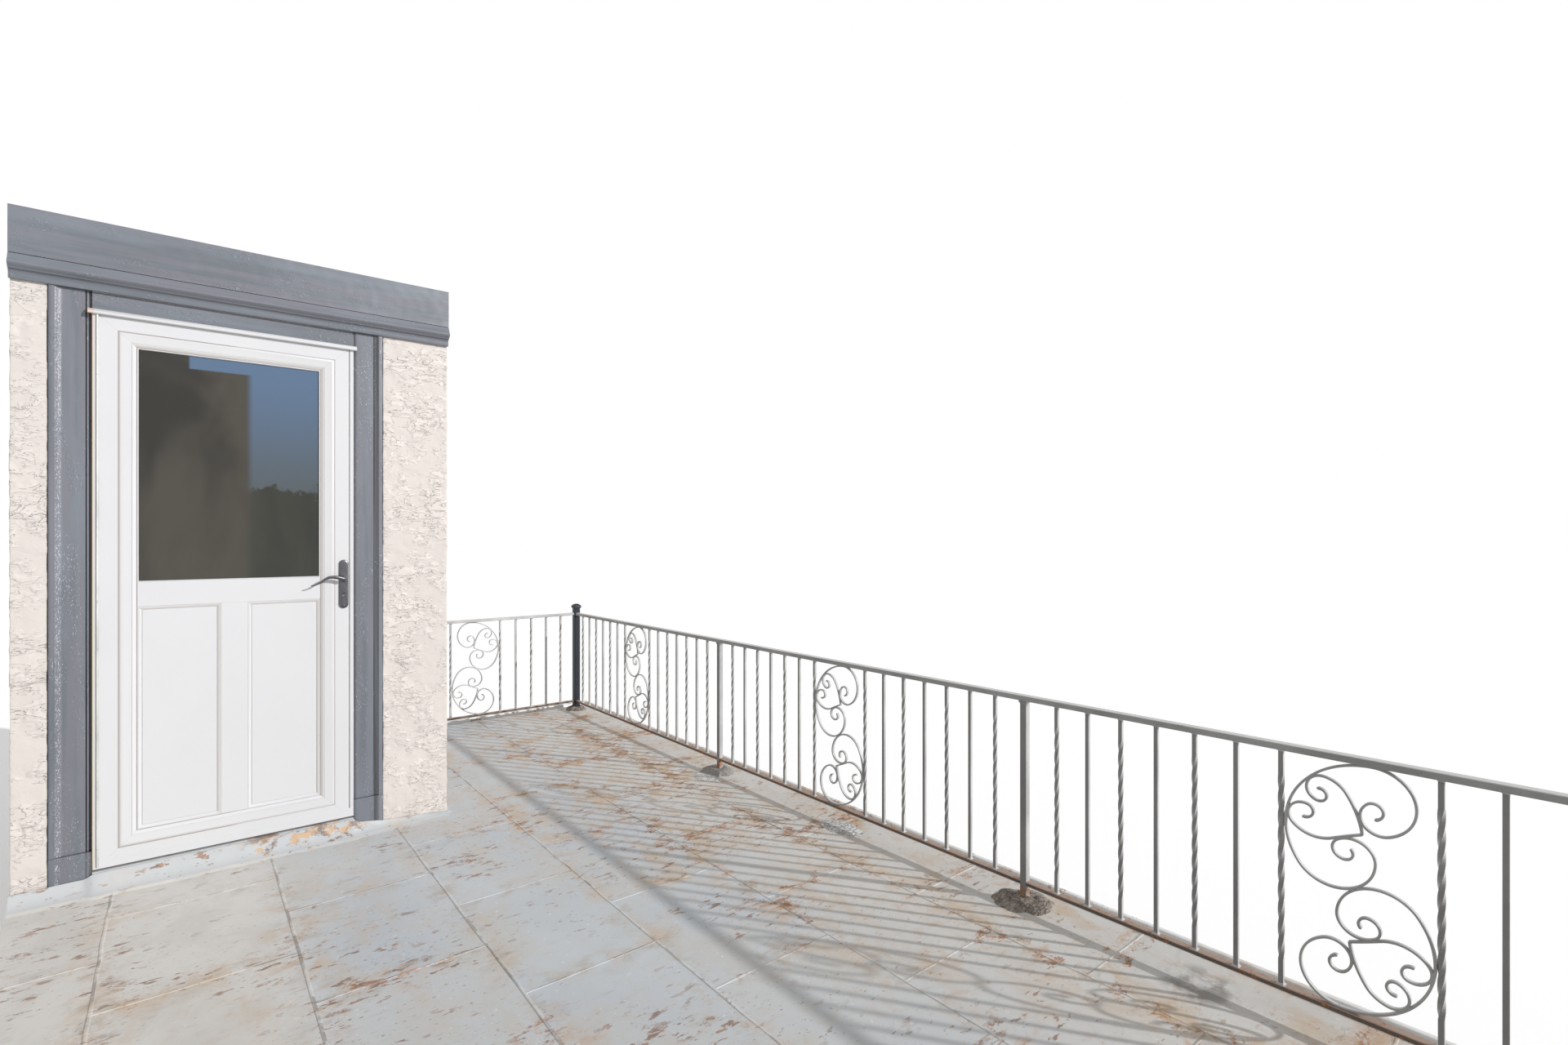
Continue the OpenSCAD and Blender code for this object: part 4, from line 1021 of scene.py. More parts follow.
class BALCONY_OT_posts(bpy.types.Operator):
    """Corner posts with domed caps, line posts, and the cement round their feet"""
    bl_idname = "balcony.posts"
    bl_label = "Posts"

    def execute(self, context):
        s, p = context.scene.balcony_railing, PLAN
        for name in ("corner_post_far", "corner_post_near"):
            low, high = p.box[name]
            cap = (high[0] - low[0]) / 2
            r, top = cap * POST_SHARE, high[2]
            neck = top - CAP_H
            levels = [(r, 0.003, p.deck_z), (r, 0.003, neck), (cap - 0.003, 0.002, neck + 0.0005),
                      (cap, 0.003, neck + 0.003), (cap, 0.003, neck + 0.017),
                      (cap - 0.0012, 0.004, neck + 0.020), (cap - 0.006, 0.006, neck + 0.0245),
                      (cap * 0.62, 0.008, neck + 0.030), (cap * 0.35, 0.007, neck + 0.0328),
                      (cap * 0.12, 0.003, top)]
            v, f = square_loft(levels, 4)
            make_piece(name.replace("corner_post", "capped_post"),
                       (v + [(low[0] + high[0]) / 2, p.y_rail, 0], f), "post", (name,))
        mounds = []
        for k, (name, axis) in enumerate((("line_posts_front", 0), ("line_post_near", 1))):
            start, end = node_spans(name, axis, 0.1)[0]
            half, top = (end - start) / 2, p.high_z - p.deck_z
            foot = [(half, 0.002, 0.0), (half, 0.002, top - 0.012), (half + 0.004, 0.002, top - 0.004),
                    (half + 0.004, 0.002, top)]
            spots = stands(name, axis, 0.1, p.deck_z)
            # shade: painted shade on the faces turned inwards from the street
            make_piece(name.replace("line_post", "slim_post"), repeat(square_loft(foot, 2), spots), "rail",
                       (name,), shade="soot")
            for j, spot in enumerate(spots):
                size = (s.mound_x, s.mound_y) if axis == 0 else (s.mound_y, s.mound_x)
                v, f = cement_mound(*size, s.mound_h, 11 + 7 * k + j)
                mounds.append((v + spot + [0, FOOT_IN * (1 - axis), 0], f))
        for j, x in enumerate((p.x_far, p.x_near)):
            v, f = cement_mound(s.mound_x * 0.72, s.mound_x * 0.72, s.mound_h * 1.3, 31 + j)
            mounds.append((v + [x, p.y_rail, p.deck_z], f))
        make_piece("cement_mounds", join(mounds), "cement", ("post_cement",), angle=60)
        patches = []
        for x, y, a, b, seed in SMEARS:
            v, f = cement_mound(a, b, 0.0045, seed)
            patches.append((v + [x, p.y_rail + y, p.deck_z], f))
        make_piece("roof_patches", join(patches), "patch", (), angle=60)
        return {"FINISHED"}


def sheet_skin(x0, x1, y0, y1, z, thick, step):
    """Sheet whose top dips by up to 1.2 mm: a grid for the top, its rim turned down, a flat under."""
    nx, ny = int((x1 - x0) / step) + 2, int((y1 - y0) / step) + 2
    gx, gy = np.meshgrid(np.linspace(x0, x1, nx), np.linspace(y0, y1, ny), indexing="ij")
    flat = np.c_[gx.ravel(), gy.ravel(), np.zeros(gx.size)]
    top = z - 0.0012 * value_noise(flat, 0.24, 3)
    under = np.c_[flat[:, :2], np.full(len(flat), z - thick)]
    v = np.concatenate([np.c_[flat[:, :2], top], under])
    quads = grid_quads(nx, ny)
    rim = np.concatenate([np.arange(ny), np.arange(1, nx) * ny + ny - 1,
                          (nx - 1) * ny + np.arange(ny - 2, -1, -1), np.arange(nx - 2, 0, -1) * ny])
    n = gx.size
    after = np.roll(rim, -1)
    return v, [quads, quads[:, ::-1] + n, np.stack([rim, after, after + n, rim + n], -1)]


def seam(start, end, width, height, seed):
    """Flat lock seam: a low ridge with one steep side, carried along a line that wavers a little."""
    start, end = np.array(start, float), np.array(end, float)
    n = max(int(np.linalg.norm(end - start) / 0.035), 3)
    t = np.linspace(0, 1, n + 1)[:, None]
    path = start + (end - start) * t
    along = (end - start) / np.linalg.norm(end - start)
    side = np.array([-along[1], along[0], 0.0])
    w = value_noise(np.c_[path[:, :2] + seed, np.zeros(n + 1)], 0.11, seed) - 0.5
    path = path + side * w[:, None] * 0.004
    swell = 0.75 + 0.5 * value_noise(np.c_[path[:, :2], np.full(n + 1, seed * 1.0)], 0.06, seed)
    a = width / 2
    profile = np.array([(-a, -0.0020), (a, -0.0020), (a, -0.0010), (a * 0.8, height * 0.7),
                        (a * 0.55, height), (-a * 0.2, height * 0.8), (-a * 0.8, height * 0.15),
                        (-a, -0.0011)])
    scale = np.stack([np.ones(n + 1), swell], -1)
    return sweep(path, np.tile(side, (n + 1, 1)), np.tile([0.0, 0.0, 1.0], (n + 1, 1)), profile, scale)


def kerb_shape(p, lip_w, lip_h):
    """Turned-up edge of the roof: a lip on a flat foot, carried round the three open sides. A point of the
    section stands a inside the outer line and b above the deck; at a corner it moves in by a on both axes."""
    low, high = p.box["kerb_front"]
    foot, wide = low[2] - p.deck_z, high[1] - low[1]
    section = np.array([(0, foot), (wide, foot), (wide, -0.003), (lip_w + 0.007, -0.0025),
                        (lip_w + 0.003, 0.0006), (lip_w + 0.0008, 0.003), (lip_w, lip_h - 0.004),
                        (lip_w - 0.0025, lip_h - 0.001), (lip_w - 0.005, lip_h), (0.004, lip_h),
                        (0.0012, lip_h - 0.001), (0, lip_h - 0.003)])
    turn = np.array([(low[0], p.y_back), (low[0], low[1]), (high[0], low[1]), (high[0], p.y_side)])
    inward = np.array([(1, 0), (1, 1), (-1, 1), (-1, 0)], float)
    path, side = [], []
    for k in range(3):
        n = int(np.linalg.norm(turn[k + 1] - turn[k]) / 0.06)
        u = np.linspace(0, 1, n + 1)[:, None]
        straight = [(1, 0), (0, 1), (-1, 0)][k]
        path.append(turn[k] + (turn[k + 1] - turn[k]) * u[:-1])
        side.append(np.vstack([inward[k], np.tile(straight, (n - 1, 1))]))
    path, side = np.vstack(path + [turn[3]]), np.vstack(side + [inward[3]])
    n = len(path)
    uneven = 1 + 0.10 * (value_noise(np.c_[path, np.zeros(n)], 0.16, 71) - 0.5)
    points, faces = sweep(np.c_[path, np.full(n, p.deck_z)], np.c_[side, np.zeros(n)],
                          np.tile([0.0, 0.0, 1.0], (n, 1)), section)
    rise = points[:, 2] - p.deck_z
    points[:, 2] = p.deck_z + np.where(rise > 0, rise * np.repeat(uneven, len(section)), rise)
    return points, faces


class BALCONY_OT_deck(bpy.types.Operator):
    """Sheet-metal skin of the deck, its turned-up edge, and its flat seams laid as a brick bond"""
    bl_idname = "balcony.deck"
    bl_label = "Deck"

    def execute(self, context):
        s, w, p = context.scene.balcony_finishes, context.scene.balcony_wall, PLAN
        low, high = (np.array(c) for c in p.box["roof_sheets"])
        z, thick = high[2], high[2] - low[2]
        make_piece("metal_kerb", kerb_shape(p, w.lip_w, w.lip_h), "kerb",
                   ("kerb_front", "kerb_far", "kerb_near"), angle=40)
        step, short = 0.045, 0.05
        grow = low[1] - p.box["kerb_front"][0][1] - w.lip_w - 0.0015
        low[:2] -= grow
        high[0] += grow
        skin = join([sheet_skin(low[0], p.x_wall, low[1], high[1], z, thick, step),
                     sheet_skin(p.x_wall, high[0], low[1], p.y_side, z, thick, step)])
        make_piece("deck_skin", skin, "roof", ("roof_sheets",))
        seams = []
        lines = [p.y_rail + line for line in s.seam_lines]
        for k, y in enumerate(lines):
            x_end = high[0] if y < p.y_side - 0.03 else p.x_wall
            seams.append(seam((low[0], y, z), (x_end, y, z), w.seam_w, w.seam_h, 60 + k))
        for k, (y0, y1) in enumerate(zip([low[1]] + lines, lines + [high[1]])):
            shift = 0.5 * ((k + 1) % 2)
            for n in range(-6, 7):
                x = s.first_joint + (n - shift) * s.sheet_l
                end = min(y1, p.y_side if x > p.x_wall - 0.02 else high[1])
                if low[0] + short < x < high[0] - short and end - y0 > short:
                    seed = 80 + n + 13 * k
                    seams.append(seam((x, y0, z), (x, end, z), w.seam_w * 0.85, w.seam_h * 0.8, seed))
        make_piece("deck_seams", join(seams), "roof", (), angle=50)
        return {"FINISHED"}


class BALCONY_OT_flashing(bpy.types.Operator):
    """Metal turned up against the house, highest under the door"""
    bl_idname = "balcony.flashing"
    bl_label = "Flashing"

    def execute(self, context):
        w, p = context.scene.balcony_wall, PLAN
        n, m, under = 130, 60, 0.001
        y = np.linspace(p.y_side, p.y_back, n)
        casing, door, end = p.y_door - p.casing_w, p.y_door, p.y_door_end
        marks = [p.y_side, casing, door - 0.02, door, end, end + 0.02, p.y_back]
        heights = [w.flash_low, w.flash_high * 0.5, w.flash_high * 0.75, w.flash_high, w.flash_high,
                   w.flash_high * 0.82, w.flash_high * 0.75]
        waver = value_noise(np.c_[np.zeros(n), y, np.zeros(n)], 0.05, 5) - 0.5
        h = np.interp(y, marks, heights) + waver * 0.003
        back = np.interp(y, marks, [0.001, 0.001, 0.008, 0.0145, 0.0145, 0.008, 0.007])
        foot = 0.055 + 0.012 * value_noise(np.c_[y, y, np.zeros(n)], 0.09, 6)
        shape = np.array([(0, 0), (1.0, 0.0), (1.0, 0.02), (0.86, 0.055), (0.6, 0.14), (0.34, 0.34),
                          (0.14, 0.7), (0.06, 1.0), (0, 1.0)])
        layers = np.empty((n, len(shape), 3))
        layers[..., 0] = p.x_wall - back[:, None] - shape[None, :, 0] * foot[:, None]
        layers[..., 1] = y[:, None]
        layers[..., 2] = p.deck_z - under + shape[None, :, 1] * h[:, None]
        main = rings(layers)
        x = np.linspace(p.x_wall, p.x_edge - 0.04, m)
        cut = np.array([(0, 0), (0.045, 0), (0.045, 0.0005), (0.02, 0.002), (0.004, 0.010), (0, 0.010)])
        side = np.empty((m, len(cut), 3))
        side[..., 0] = x[:, None]
        side[..., 1] = p.y_side - cut[None, :, 0] * 0.6
        side[..., 2] = p.deck_z - under + cut[None, :, 1]
        make_piece("wall_flashing", join([main, rings(side)]), "roof", (), angle=50)
        return {"FINISHED"}


def rounded_plan(corners, steps, radius):
    """Plan outline through corners, each eased by a small arc, with points every so often along each side,
    and the outward direction at each point."""
    corners = np.array(corners, float)
    n = len(corners)
    points, outs = [], []
    for k in range(n):
        a, b, c = corners[k - 1], corners[k], corners[(k + 1) % n]
        u, v = (b - a) / np.linalg.norm(b - a), (c - b) / np.linalg.norm(c - b)
        nu, nv = np.array([u[1], -u[0]]), np.array([v[1], -v[0]])
        t = np.linspace(0, 1, 4)[:, None]
        q = (1 - t) ** 2 * (b - u * radius) + 2 * t * (1 - t) * b + t ** 2 * (b + v * radius)
        out = nu * (1 - t) + nv * t
        points.append(q)
        outs.append(out / np.linalg.norm(out, axis=1)[:, None])
        length = np.linalg.norm(c - b) - 2 * radius
        m = max(int(length / steps[k]), 1)
        if m > 1:
            points.append(b + v * (radius + length * np.linspace(0, 1, m + 1)[1:-1, None]))
            outs.append(np.tile(nv, (m - 1, 1)))
    return np.concatenate(points), np.concatenate(outs)


def trowel_relief(v):
    """Depth of a skip-trowelled coat from 0 to 1: flat pads with torn edges, over a slow swell."""
    drag = v * [1.0, 1.0, 1.35]
    pads = ramp(value_noise(drag, 0.045, 21) * 0.7 + value_noise(drag, 0.02, 22) * 0.3, 0.44, 0.56)
    swell = value_noise(v, 0.14, 23)
    return np.clip(0.5 * (1 - pads) + 0.5 * swell, 0, 1)


def stucco_shell(corners, steps, z0, z1, grid, relief):
    """A plan outline carried up from z0 to z1, with each point pressed in by the trowel's relief."""
    xy, out = rounded_plan(corners, steps, 0.006)
    z = np.linspace(z0, z1, int((z1 - z0) / grid) + 1)
    v = np.empty((len(z), len(xy), 3))
    v[..., :2] = xy[None]
    v[..., 2] = z[:, None]
    flat = v.reshape(-1, 3)
    depth = (trowel_relief(flat) * relief).reshape(len(z), -1, 1)
    v[..., :2] -= depth * out[None]
    return rings(v)


class BALCONY_OT_stucco(bpy.types.Operator):
    """Stucco walls with the relief of a skip trowel"""
    bl_idname = "balcony.stucco"
    bl_label = "Stucco"

    def execute(self, context):
        s, p = context.scene.balcony_wall, PLAN
        g, t = s.grid, p.wall_t
        wide = 0.1  # spacing of the points round the doorway, where trim and door frame cover the wall
        casing, inside = p.y_door - p.casing_w, p.x_wall + t
        corners = [(p.x_wall, casing), (p.x_wall, p.y_side), (p.x_edge, p.y_side), (p.x_edge, p.y_side + t),
                   (inside, p.y_side + t), (inside, p.y_door), (p.x_casing, p.y_door), (p.x_casing, casing)]
        steps = [g * 0.75, g * 1.2, g * 1.6, g * 1.6, g * 2, wide, wide, wide]
        shell = stucco_shell(corners, steps, 0.0, p.wall_top, g, s.relief)
        make_piece("stucco_corner", shell, "stucco", ("wall_corner_pier", "wall_side"), angle=75)

        end = p.y_door_end + p.casing_w
        corners = [(p.x_wall, p.y_back), (p.x_wall, end), (p.x_casing, end), (p.x_casing, p.y_door_end),
                   (inside, p.y_door_end), (inside, p.y_back)]
        steps = [g * 0.75, wide, wide, wide, g * 2, g * 2]
        shell = stucco_shell(corners, steps, 0.0, p.wall_top, g, s.relief)
        make_piece("stucco_inner", shell, "stucco", ("wall_inner_pier",), angle=75)
        return {"FINISHED"}


def painted_strip(outline, stations, place, relief, seed):
    """A board's outline carried along stations, each point drawn in towards the outline's middle, and its
    face pressed back, by uneven paint."""
    n, m = len(stations), len(outline)
    flat = np.c_[np.tile(outline, (n, 1)), np.repeat(stations, m)]
    dent = value_noise(flat * [1, 1, 0.5], 0.012, seed) * 0.6 + value_noise(flat, 0.05, seed + 1) * 0.4
    shrink = 1 - relief * dent / max(np.abs(outline).max(), 1e-6)
    flat[:, 0] = outline[:, 0].mean() + (flat[:, 0] - outline[:, 0].mean()) * shrink
    flat[:, 1] = flat[:, 1] - relief * dent * (flat[:, 1] > outline[:, 1].max() * 0.3)
    return rings(place(flat).reshape(n, m, 3))


def dense(points, step):
    """A closed outline with points added along its sides."""
    points, out = np.array(points, float), []
    for a, b in zip(points, np.roll(points, -1, axis=0)):
        n = max(int(np.linalg.norm(b - a) / step), 1)
        out.append(a + (b - a) * np.arange(n)[:, None] / n)
    return np.concatenate(out)


def wall_board(outline, stations, z, relief, patch, seed, beyond):
    """A board's outline (out from the wall, up from z) carried along the wall, its outer part pressed in by
    uneven paint."""
    n, m = len(stations), len(outline)
    flat = np.c_[np.tile(outline, (n, 1)), np.repeat(stations, m)]
    flat[:, 0] -= relief * value_noise(flat, patch, seed) * (flat[:, 0] > beyond)
    return rings(np.stack([PLAN.x_wall - flat[:, 0], flat[:, 2], z + flat[:, 1]], -1).reshape(n, m, 3))


PLINTH_H, PLINTH_GAP = 0.155, 0.0015   # height of a casing's foot block, and the gap over it


def casing_outline(w, total, hinges):
    """Section of a casing, as (across from the doorway, out from the wall): its moulded side, then its edge
    at the doorway, a channel and a thin strip beside the hinges and a shallow step on the other side."""
    flat = total - 0.010
    outer = [(0, 0), (w, 0), (w, total - 0.003), (w - 0.003, total), (w - 0.016, total),
             (w - 0.0165, total - 0.002), (w - 0.0185, total - 0.0022), (w - 0.022, total - 0.0055),
             (w - 0.027, flat + 0.0026), (w - 0.032, flat + 0.0008), (w - 0.034, flat)]
    channel = [(0.0185, flat), (0.0178, flat - 0.009), (0.0150, flat - 0.009), (0.0144, flat - 0.0015),
               (0.0084, flat - 0.002), (0.0080, 0.010), (0, 0.010)]
    step = [(0.0110, flat), (0.0100, flat - 0.001), (0.0084, flat - 0.001), (0.0080, flat - 0.005),
            (0, flat - 0.005)]
    return dense(outer + (channel if hinges else step), 0.006)


def casing_shape(y0, sign, relief, seed):
    """A casing beside the doorway, going out from y0 with the sign: a moulded leg over a plain foot block."""
    p = PLAN
    w, total = p.casing_w, p.x_casing - p.box["casing_outer"][0][0]
    leg = casing_outline(w, total, sign > 0)
    foot = dense([(0, 0), (w, 0), (w, total - 0.002), (w - 0.002, total), (0.002, total), (0, total - 0.002)],
                 0.008)
    z_leg = np.linspace(p.deck_z + PLINTH_H + PLINTH_GAP, p.moulding_z, 190)
    z_foot = np.linspace(p.deck_z, p.deck_z + PLINTH_H, 16)

    def place(q):
        """The outline's points beside the doorway."""
        return np.stack([p.x_casing - q[:, 1], y0 + sign * q[:, 0], q[:, 2]], -1)

    return join([painted_strip(leg, z_leg, place, relief, seed),
                 painted_strip(foot, z_foot, place, relief, seed + 2)])


def moulding_outline(out, high):
    """Section of the moulding, as (out from the wall, up): a fillet, a cove, a round, and a slope back."""
    t = np.linspace(0, 1, 9)
    cove = np.stack([out * (0.62 - 0.32 * np.cos(t * math.pi / 2)),
                     high * (0.16 + 0.20 * np.sin(t * math.pi / 2))], -1)
    bulge = np.stack([out * (0.80 + 0.20 * np.sin(t * math.pi)), high * (0.44 + 0.26 * t)], -1)
    return np.concatenate([[(0, 0), (out * 0.26, 0), (out * 0.30, high * 0.03)], cove,
                           [(out * 0.66, high * 0.40)], bulge,
                           [(out * 0.74, high * 0.76), (out * 0.52, high * 0.97), (0, high)]])


class BALCONY_OT_trim(bpy.types.Operator):
    """Casing, moulding and frieze under thick paint"""
    bl_idname = "balcony.trim"
    bl_label = "Trim"

    def execute(self, context):
        relief, p = context.scene.balcony_wall.paint_relief, PLAN
        sides = (("casing_outer", p.y_door, -1, 41), ("casing_inner", p.y_door_end, 1, 45))
        for name, y0, sign, seed in sides:
            shape = casing_shape(y0, sign, relief, seed)
            make_piece(f"painted_{name}", shape, "trim", (name,), angle=50)

        y = np.linspace(p.y_side, p.y_back, 120)
        low, high = p.box["moulding"]
        out = p.x_wall - low[0]
        outline = moulding_outline(out, high[2] - low[2])
        shape = wall_board(outline, y, p.moulding_z, relief, 0.03, 47, out * 0.2)
        make_piece("painted_moulding", shape, "board", ("moulding",), angle=40)

        low, high = p.box["frieze"]
        top, out, back = high[2] - low[2], p.x_wall - low[0], p.x_casing - p.x_wall
        outline = dense([(-back, 0), (out, 0), (out, top * 0.74), (out, top * 0.745), (out, top),
                         (-back, top)], 0.012)
        shape = wall_board(outline, y, p.frieze_z, relief, 0.02, 49, out * 0.5)
        make_piece("painted_frieze", shape, "board", ("frieze",), angle=50)
        return {"FINISHED"}


def rectangle_rings(y0, y1, z0, z1, x0, profile):
    """A profile of (inset, depth) carried round a rectangle with mitred corners, as rings of four points."""
    inset, depth = np.array(profile, float).T
    one = np.ones(len(inset))
    corners = [(y0 + inset, z0 + inset), (y1 - inset, z0 + inset), (y1 - inset, z1 - inset),
               (y0 + inset, z1 - inset)]
    return np.stack([np.stack([x0 + depth, y * one, z * one], -1) for y, z in corners], 1)


def closed_frame(y0, y1, z0, z1, x0, profile):
    """The same with the profile closed on itself, which makes a frame."""
    layers = rectangle_rings(y0, y1, z0, z1, x0, list(profile) + [profile[0]])
    n, m = layers.shape[:2]
    quads = grid_quads(n, m, wrap=True) % ((n - 1) * m)
    return layers[:-1].reshape(-1, 3), [quads]


FRAME_W, RAISED = 0.015, 0.008   # width of the door's frame, and the gap under it
DRIP_H, RAIL_H = 0.020, 0.095    # height of its drip cap, and of the rail under the glass


def door_frame_shape(sweep):
    """The frame round the leaf, with a drip cap at its top and a strip, sweep high, at its foot."""
    low, high = PLAN.box["door_frame"]
    x = PLAN.box["door_leaf"][0][0] - 0.002
    y0, y1, z0, z1 = PLAN.y_door, PLAN.y_door_end, low[2] + RAISED, high[2]
    deep = high[0] - x
    rim = [(0, deep), (0, 0.0015), (0.0015, 0), (FRAME_W - 0.0015, 0), (FRAME_W, 0.0015), (FRAME_W, deep)]
    drip = np.array([(0, 0), (0.9, 0), (1, 0.15), (1, 0.32), (0.75, 0.62), (0.3, 0.9), (0, 1)])
    drip = drip * [x - low[0], DRIP_H]
    ends = np.array([low[1], low[1] + 0.0008, high[1] - 0.0008, high[1]])
    shrink = np.array([0.9, 1, 1, 0.9])
    layers = np.empty((4, len(drip), 3))
    layers[..., 0] = x - drip[None, :, 0] * shrink[:, None]
    layers[..., 1] = ends[:, None]
    layers[..., 2] = z1 - DRIP_H + drip[None, :, 1]
    strip = rectangle_rings(y0 + 0.001, y1 - 0.001, z0, z0 + sweep, x - 0.0005,
                            [(0, 0.0024), (0, 0.0012), (0.0012, 0)])
    return join([closed_frame(y0, y1, z0, z1, x, rim), rings(layers), rings(strip)])


def door_leaf_shape(s):
    """The leaf: a mitred moulding round a sunk field, and under the glass a rail, an upright and two panels
    with sloped edges."""
    low, high = PLAN.box["door_leaf"]
    x, y0, z0 = low
    t, a, b, d, soft = high[0] - x, s.flat, s.field, s.drop, 0.0006
    # Flat edge, groove, raised crest, gentle fall, then the steep side above the field
    edge = [(0, t), (0, 0.001), (0.001, 0), (a - 0.0005, 0), (a, 0.0018), (a + 0.0022, 0.0018),
            (a + 0.0030, 0.0012), (a + 0.0070, -0.0006), (a + 0.0110, -0.0008), (a + 0.0150, -0.0002),
            (b - 0.0170, 0.0016), (b - 0.0165, 0.0026), (b - 0.0153, 0.0026), (b - 0.0148, 0.0014),
            (b - 0.0130, 0.0018), (b - 0.0060, d * 0.72), (b - 0.0030, d * 0.92), (b - 0.0025, d + 0.0014),
            (b - 0.0008, d + 0.0014), (b, d), (b, t)]
    shapes = [closed_frame(y0, high[1], z0, high[2], x, edge)]
    # The field from its latch side to its hinge side
    latch, hinge = y0 + b, high[1] - b
    panel_z, glass_z = z0 + b, PLAN.box["door_glass"][0][2]
    rail_z = glass_z - RAIL_H
    half = (hinge - latch - s.mullion) / 2
    flat = [(0, t), (0, d + soft), (soft, d)]
    shapes.append(rings(rectangle_rings(latch, hinge, rail_z, glass_z, x, flat)))
    shapes.append(rings(rectangle_rings(latch + half, hinge - half, panel_z, rail_z, x, flat)))
    e, q = s.panel_bevel, s.panel_drop
    panel = [(0, t), (0, d + soft), (0.0006, d + 0.0016), (0.0018, d + 0.0016), (0.0024, d + 0.0004),
             (0.0045, d + 0.0009), (e - 0.0035, d + q * 0.95), (e - 0.0028, d + q + 0.0018),
             (e - 0.0008, d + q + 0.0018), (e, d + q)]
    for start, end in ((latch, latch + half), (hinge - half, hinge)):
        shapes.append(rings(rectangle_rings(start, end, panel_z, rail_z, x, panel)))
    return join(shapes)


def glazing_bead_shape():
    """Beads round the pane on its outer and inner face."""
    low, high = PLAN.box["door_glass"]
    pane = (low[1], high[1], low[2], high[2])
    outside = PLAN.box["glazing_beads"][0][0]
    g = low[0] - outside
    bead = [(0, g), (0, 0.0), (0.0008, -0.0006), (0.0024, -0.0006), (0.0036, 0.0008), (0.0040, 0.0020),
            (0.0040, g)]
    rear = [(0, 0), (0.004, 0), (0.004, 0.004), (0.002, 0.011), (0, 0.0115)]
    return join([closed_frame(*pane, outside, bead), closed_frame(*pane, high[0], rear)])


class BALCONY_OT_door(bpy.types.Operator):
    """Storm door: frame, leaf with mitred mouldings, lower panels and glazing beads"""
    bl_idname = "balcony.door"
    bl_label = "Storm Door"

    def execute(self, context):
        s = context.scene.balcony_door
        for name, shape, paint, node_name, angle in (
                ("enamel_frame", door_frame_shape(s.sweep), "frame", "door_frame", 34.0),
                ("enamel_leaf", door_leaf_shape(s), "leaf", "door_leaf", 24),
                ("glass_beads", glazing_bead_shape(), "frame", "glazing_beads", 24)):
            # shade: painted shade on the faces turned to the hinges or down
            make_piece(name, shape, paint, (node_name,), angle, "dust_and_shade")
        return {"FINISHED"}


STAND_OFF = 0.033   # from the plate's back to the lever's middle line
SPINDLE_UP = 0.62   # where the lever's spindle lies, as a share of the plate's straight part
KEY_DROP = 0.068    # from the spindle down to the key cylinder


def plate_shape(x, y, z, w, straight):
    """Long plate with round ends: w is their radius, straight half the distance between their middles."""
    t = circle(64)
    rim = np.stack([w * np.cos(t), w * np.sin(t) + np.sign(np.sin(t)) * straight], -1)
    # Share of the outline, and how far the plate stands out there
    swells = ((1.0, 0.0), (1.0, 0.0045), (0.97, 0.0058), (0.90, 0.0068), (0.6, 0.0072), (0.05, 0.0073))
    layers = [np.stack([np.full(len(t), x - out), y + rim[:, 0] * k,
                        z + rim[:, 1] - np.sign(rim[:, 1]) * w * (1 - k)], -1) for k, out in swells]
    return rings(np.array(layers))


def turned_shape(x, y, z, profile):
    """A piece turned about an axis that points out of the door: radius and standing-out of each ring."""
    a = circle(32)
    layers = [np.stack([np.full(len(a), x - out), y + r * np.cos(a), z + r * np.sin(a)], -1)
              for r, out in profile]
    return rings(np.array(layers))


def arm_shape(x, y, z, length):
    """The lever: an oval that thins along a path, which rises in a sine arch and falls below its start."""
    n = 44
    u, a = np.linspace(0, 1, n), circle(32)[::2]
    rise = 0.011 * np.sin(np.clip(u / 0.72, 0, 1) * math.pi)
    path = np.stack([x - 0.003 * np.sin(u * math.pi), y + u * length,
                     z + rise - 0.024 * ramp(u, 0.45, 1.0)], -1)
    along = np.gradient(path, axis=0)
    along /= np.linalg.norm(along, axis=1)[:, None]
    side = np.tile([1.0, 0.0, 0.0], (n, 1))
    section = np.stack([0.0042 * np.cos(a), 0.0064 * np.sin(a)], -1)
    taper = np.clip(1.18 - 0.75 * ramp(u, 0.15, 1.0), 0, 2)
    taper[0], taper[-1] = 0.8, 0.12
    return sweep(path, side, np.cross(along, side), section, np.stack([taper, taper], -1))


class BALCONY_OT_lever(bpy.types.Operator):
    """Long lever plate, key cylinder, screws, and a curved lever"""
    bl_idname = "balcony.lever"
    bl_label = "Lever"

    def execute(self, context):
        s, p = context.scene.balcony_door, PLAN
        low, high = p.box["lever_plate"]
        x, (_, y, z_mid) = high[0], (low + high) / 2
        w, tall = (high[1] - low[1]) / 2, (high[2] - low[2]) / 2
        straight = tall - w
        spin = low[2] + SPINDLE_UP * 2 * straight + w
        hub = [(0.013, 0.006), (0.013, 0.012), (0.0118, 0.0135), (0.0078, 0.0138), (0.0066, 0.016),
               (0.0062, 0.030), (0.001, 0.0305)]
        key = [(0.0095, 0.006), (0.0095, 0.0105), (0.0085, 0.0118), (0.006, 0.0112), (0.001, 0.0112)]
        screw = [(0.0036, 0.006), (0.0036, 0.0078), (0.0026, 0.0086), (0.0004, 0.0088)]
        turned = ((spin, hub), (spin - KEY_DROP, key), (low[2] + w * 0.62, screw),
                  (high[2] - w * 0.62, screw))
        shape = join([plate_shape(x, y, z_mid, w, straight),
                      *(turned_shape(x, y, z, profile) for z, profile in turned),
                      arm_shape(x - STAND_OFF, y, spin, s.lever)])
        make_piece("nickel_lever", shape, "nickel", ("lever_plate", "door_lever"), angle=35)
        return {"FINISHED"}


def seen_rays(tree):
    """1 for the rays that show the backdrop, straight, in gloss or through glass, and 0 for the others."""
    rays = tree.nodes.new("ShaderNodeLightPath").outputs
    return most(tree, rays["Is Camera Ray"], most(tree, rays["Is Glossy Ray"], rays["Is Transmission Ray"]))


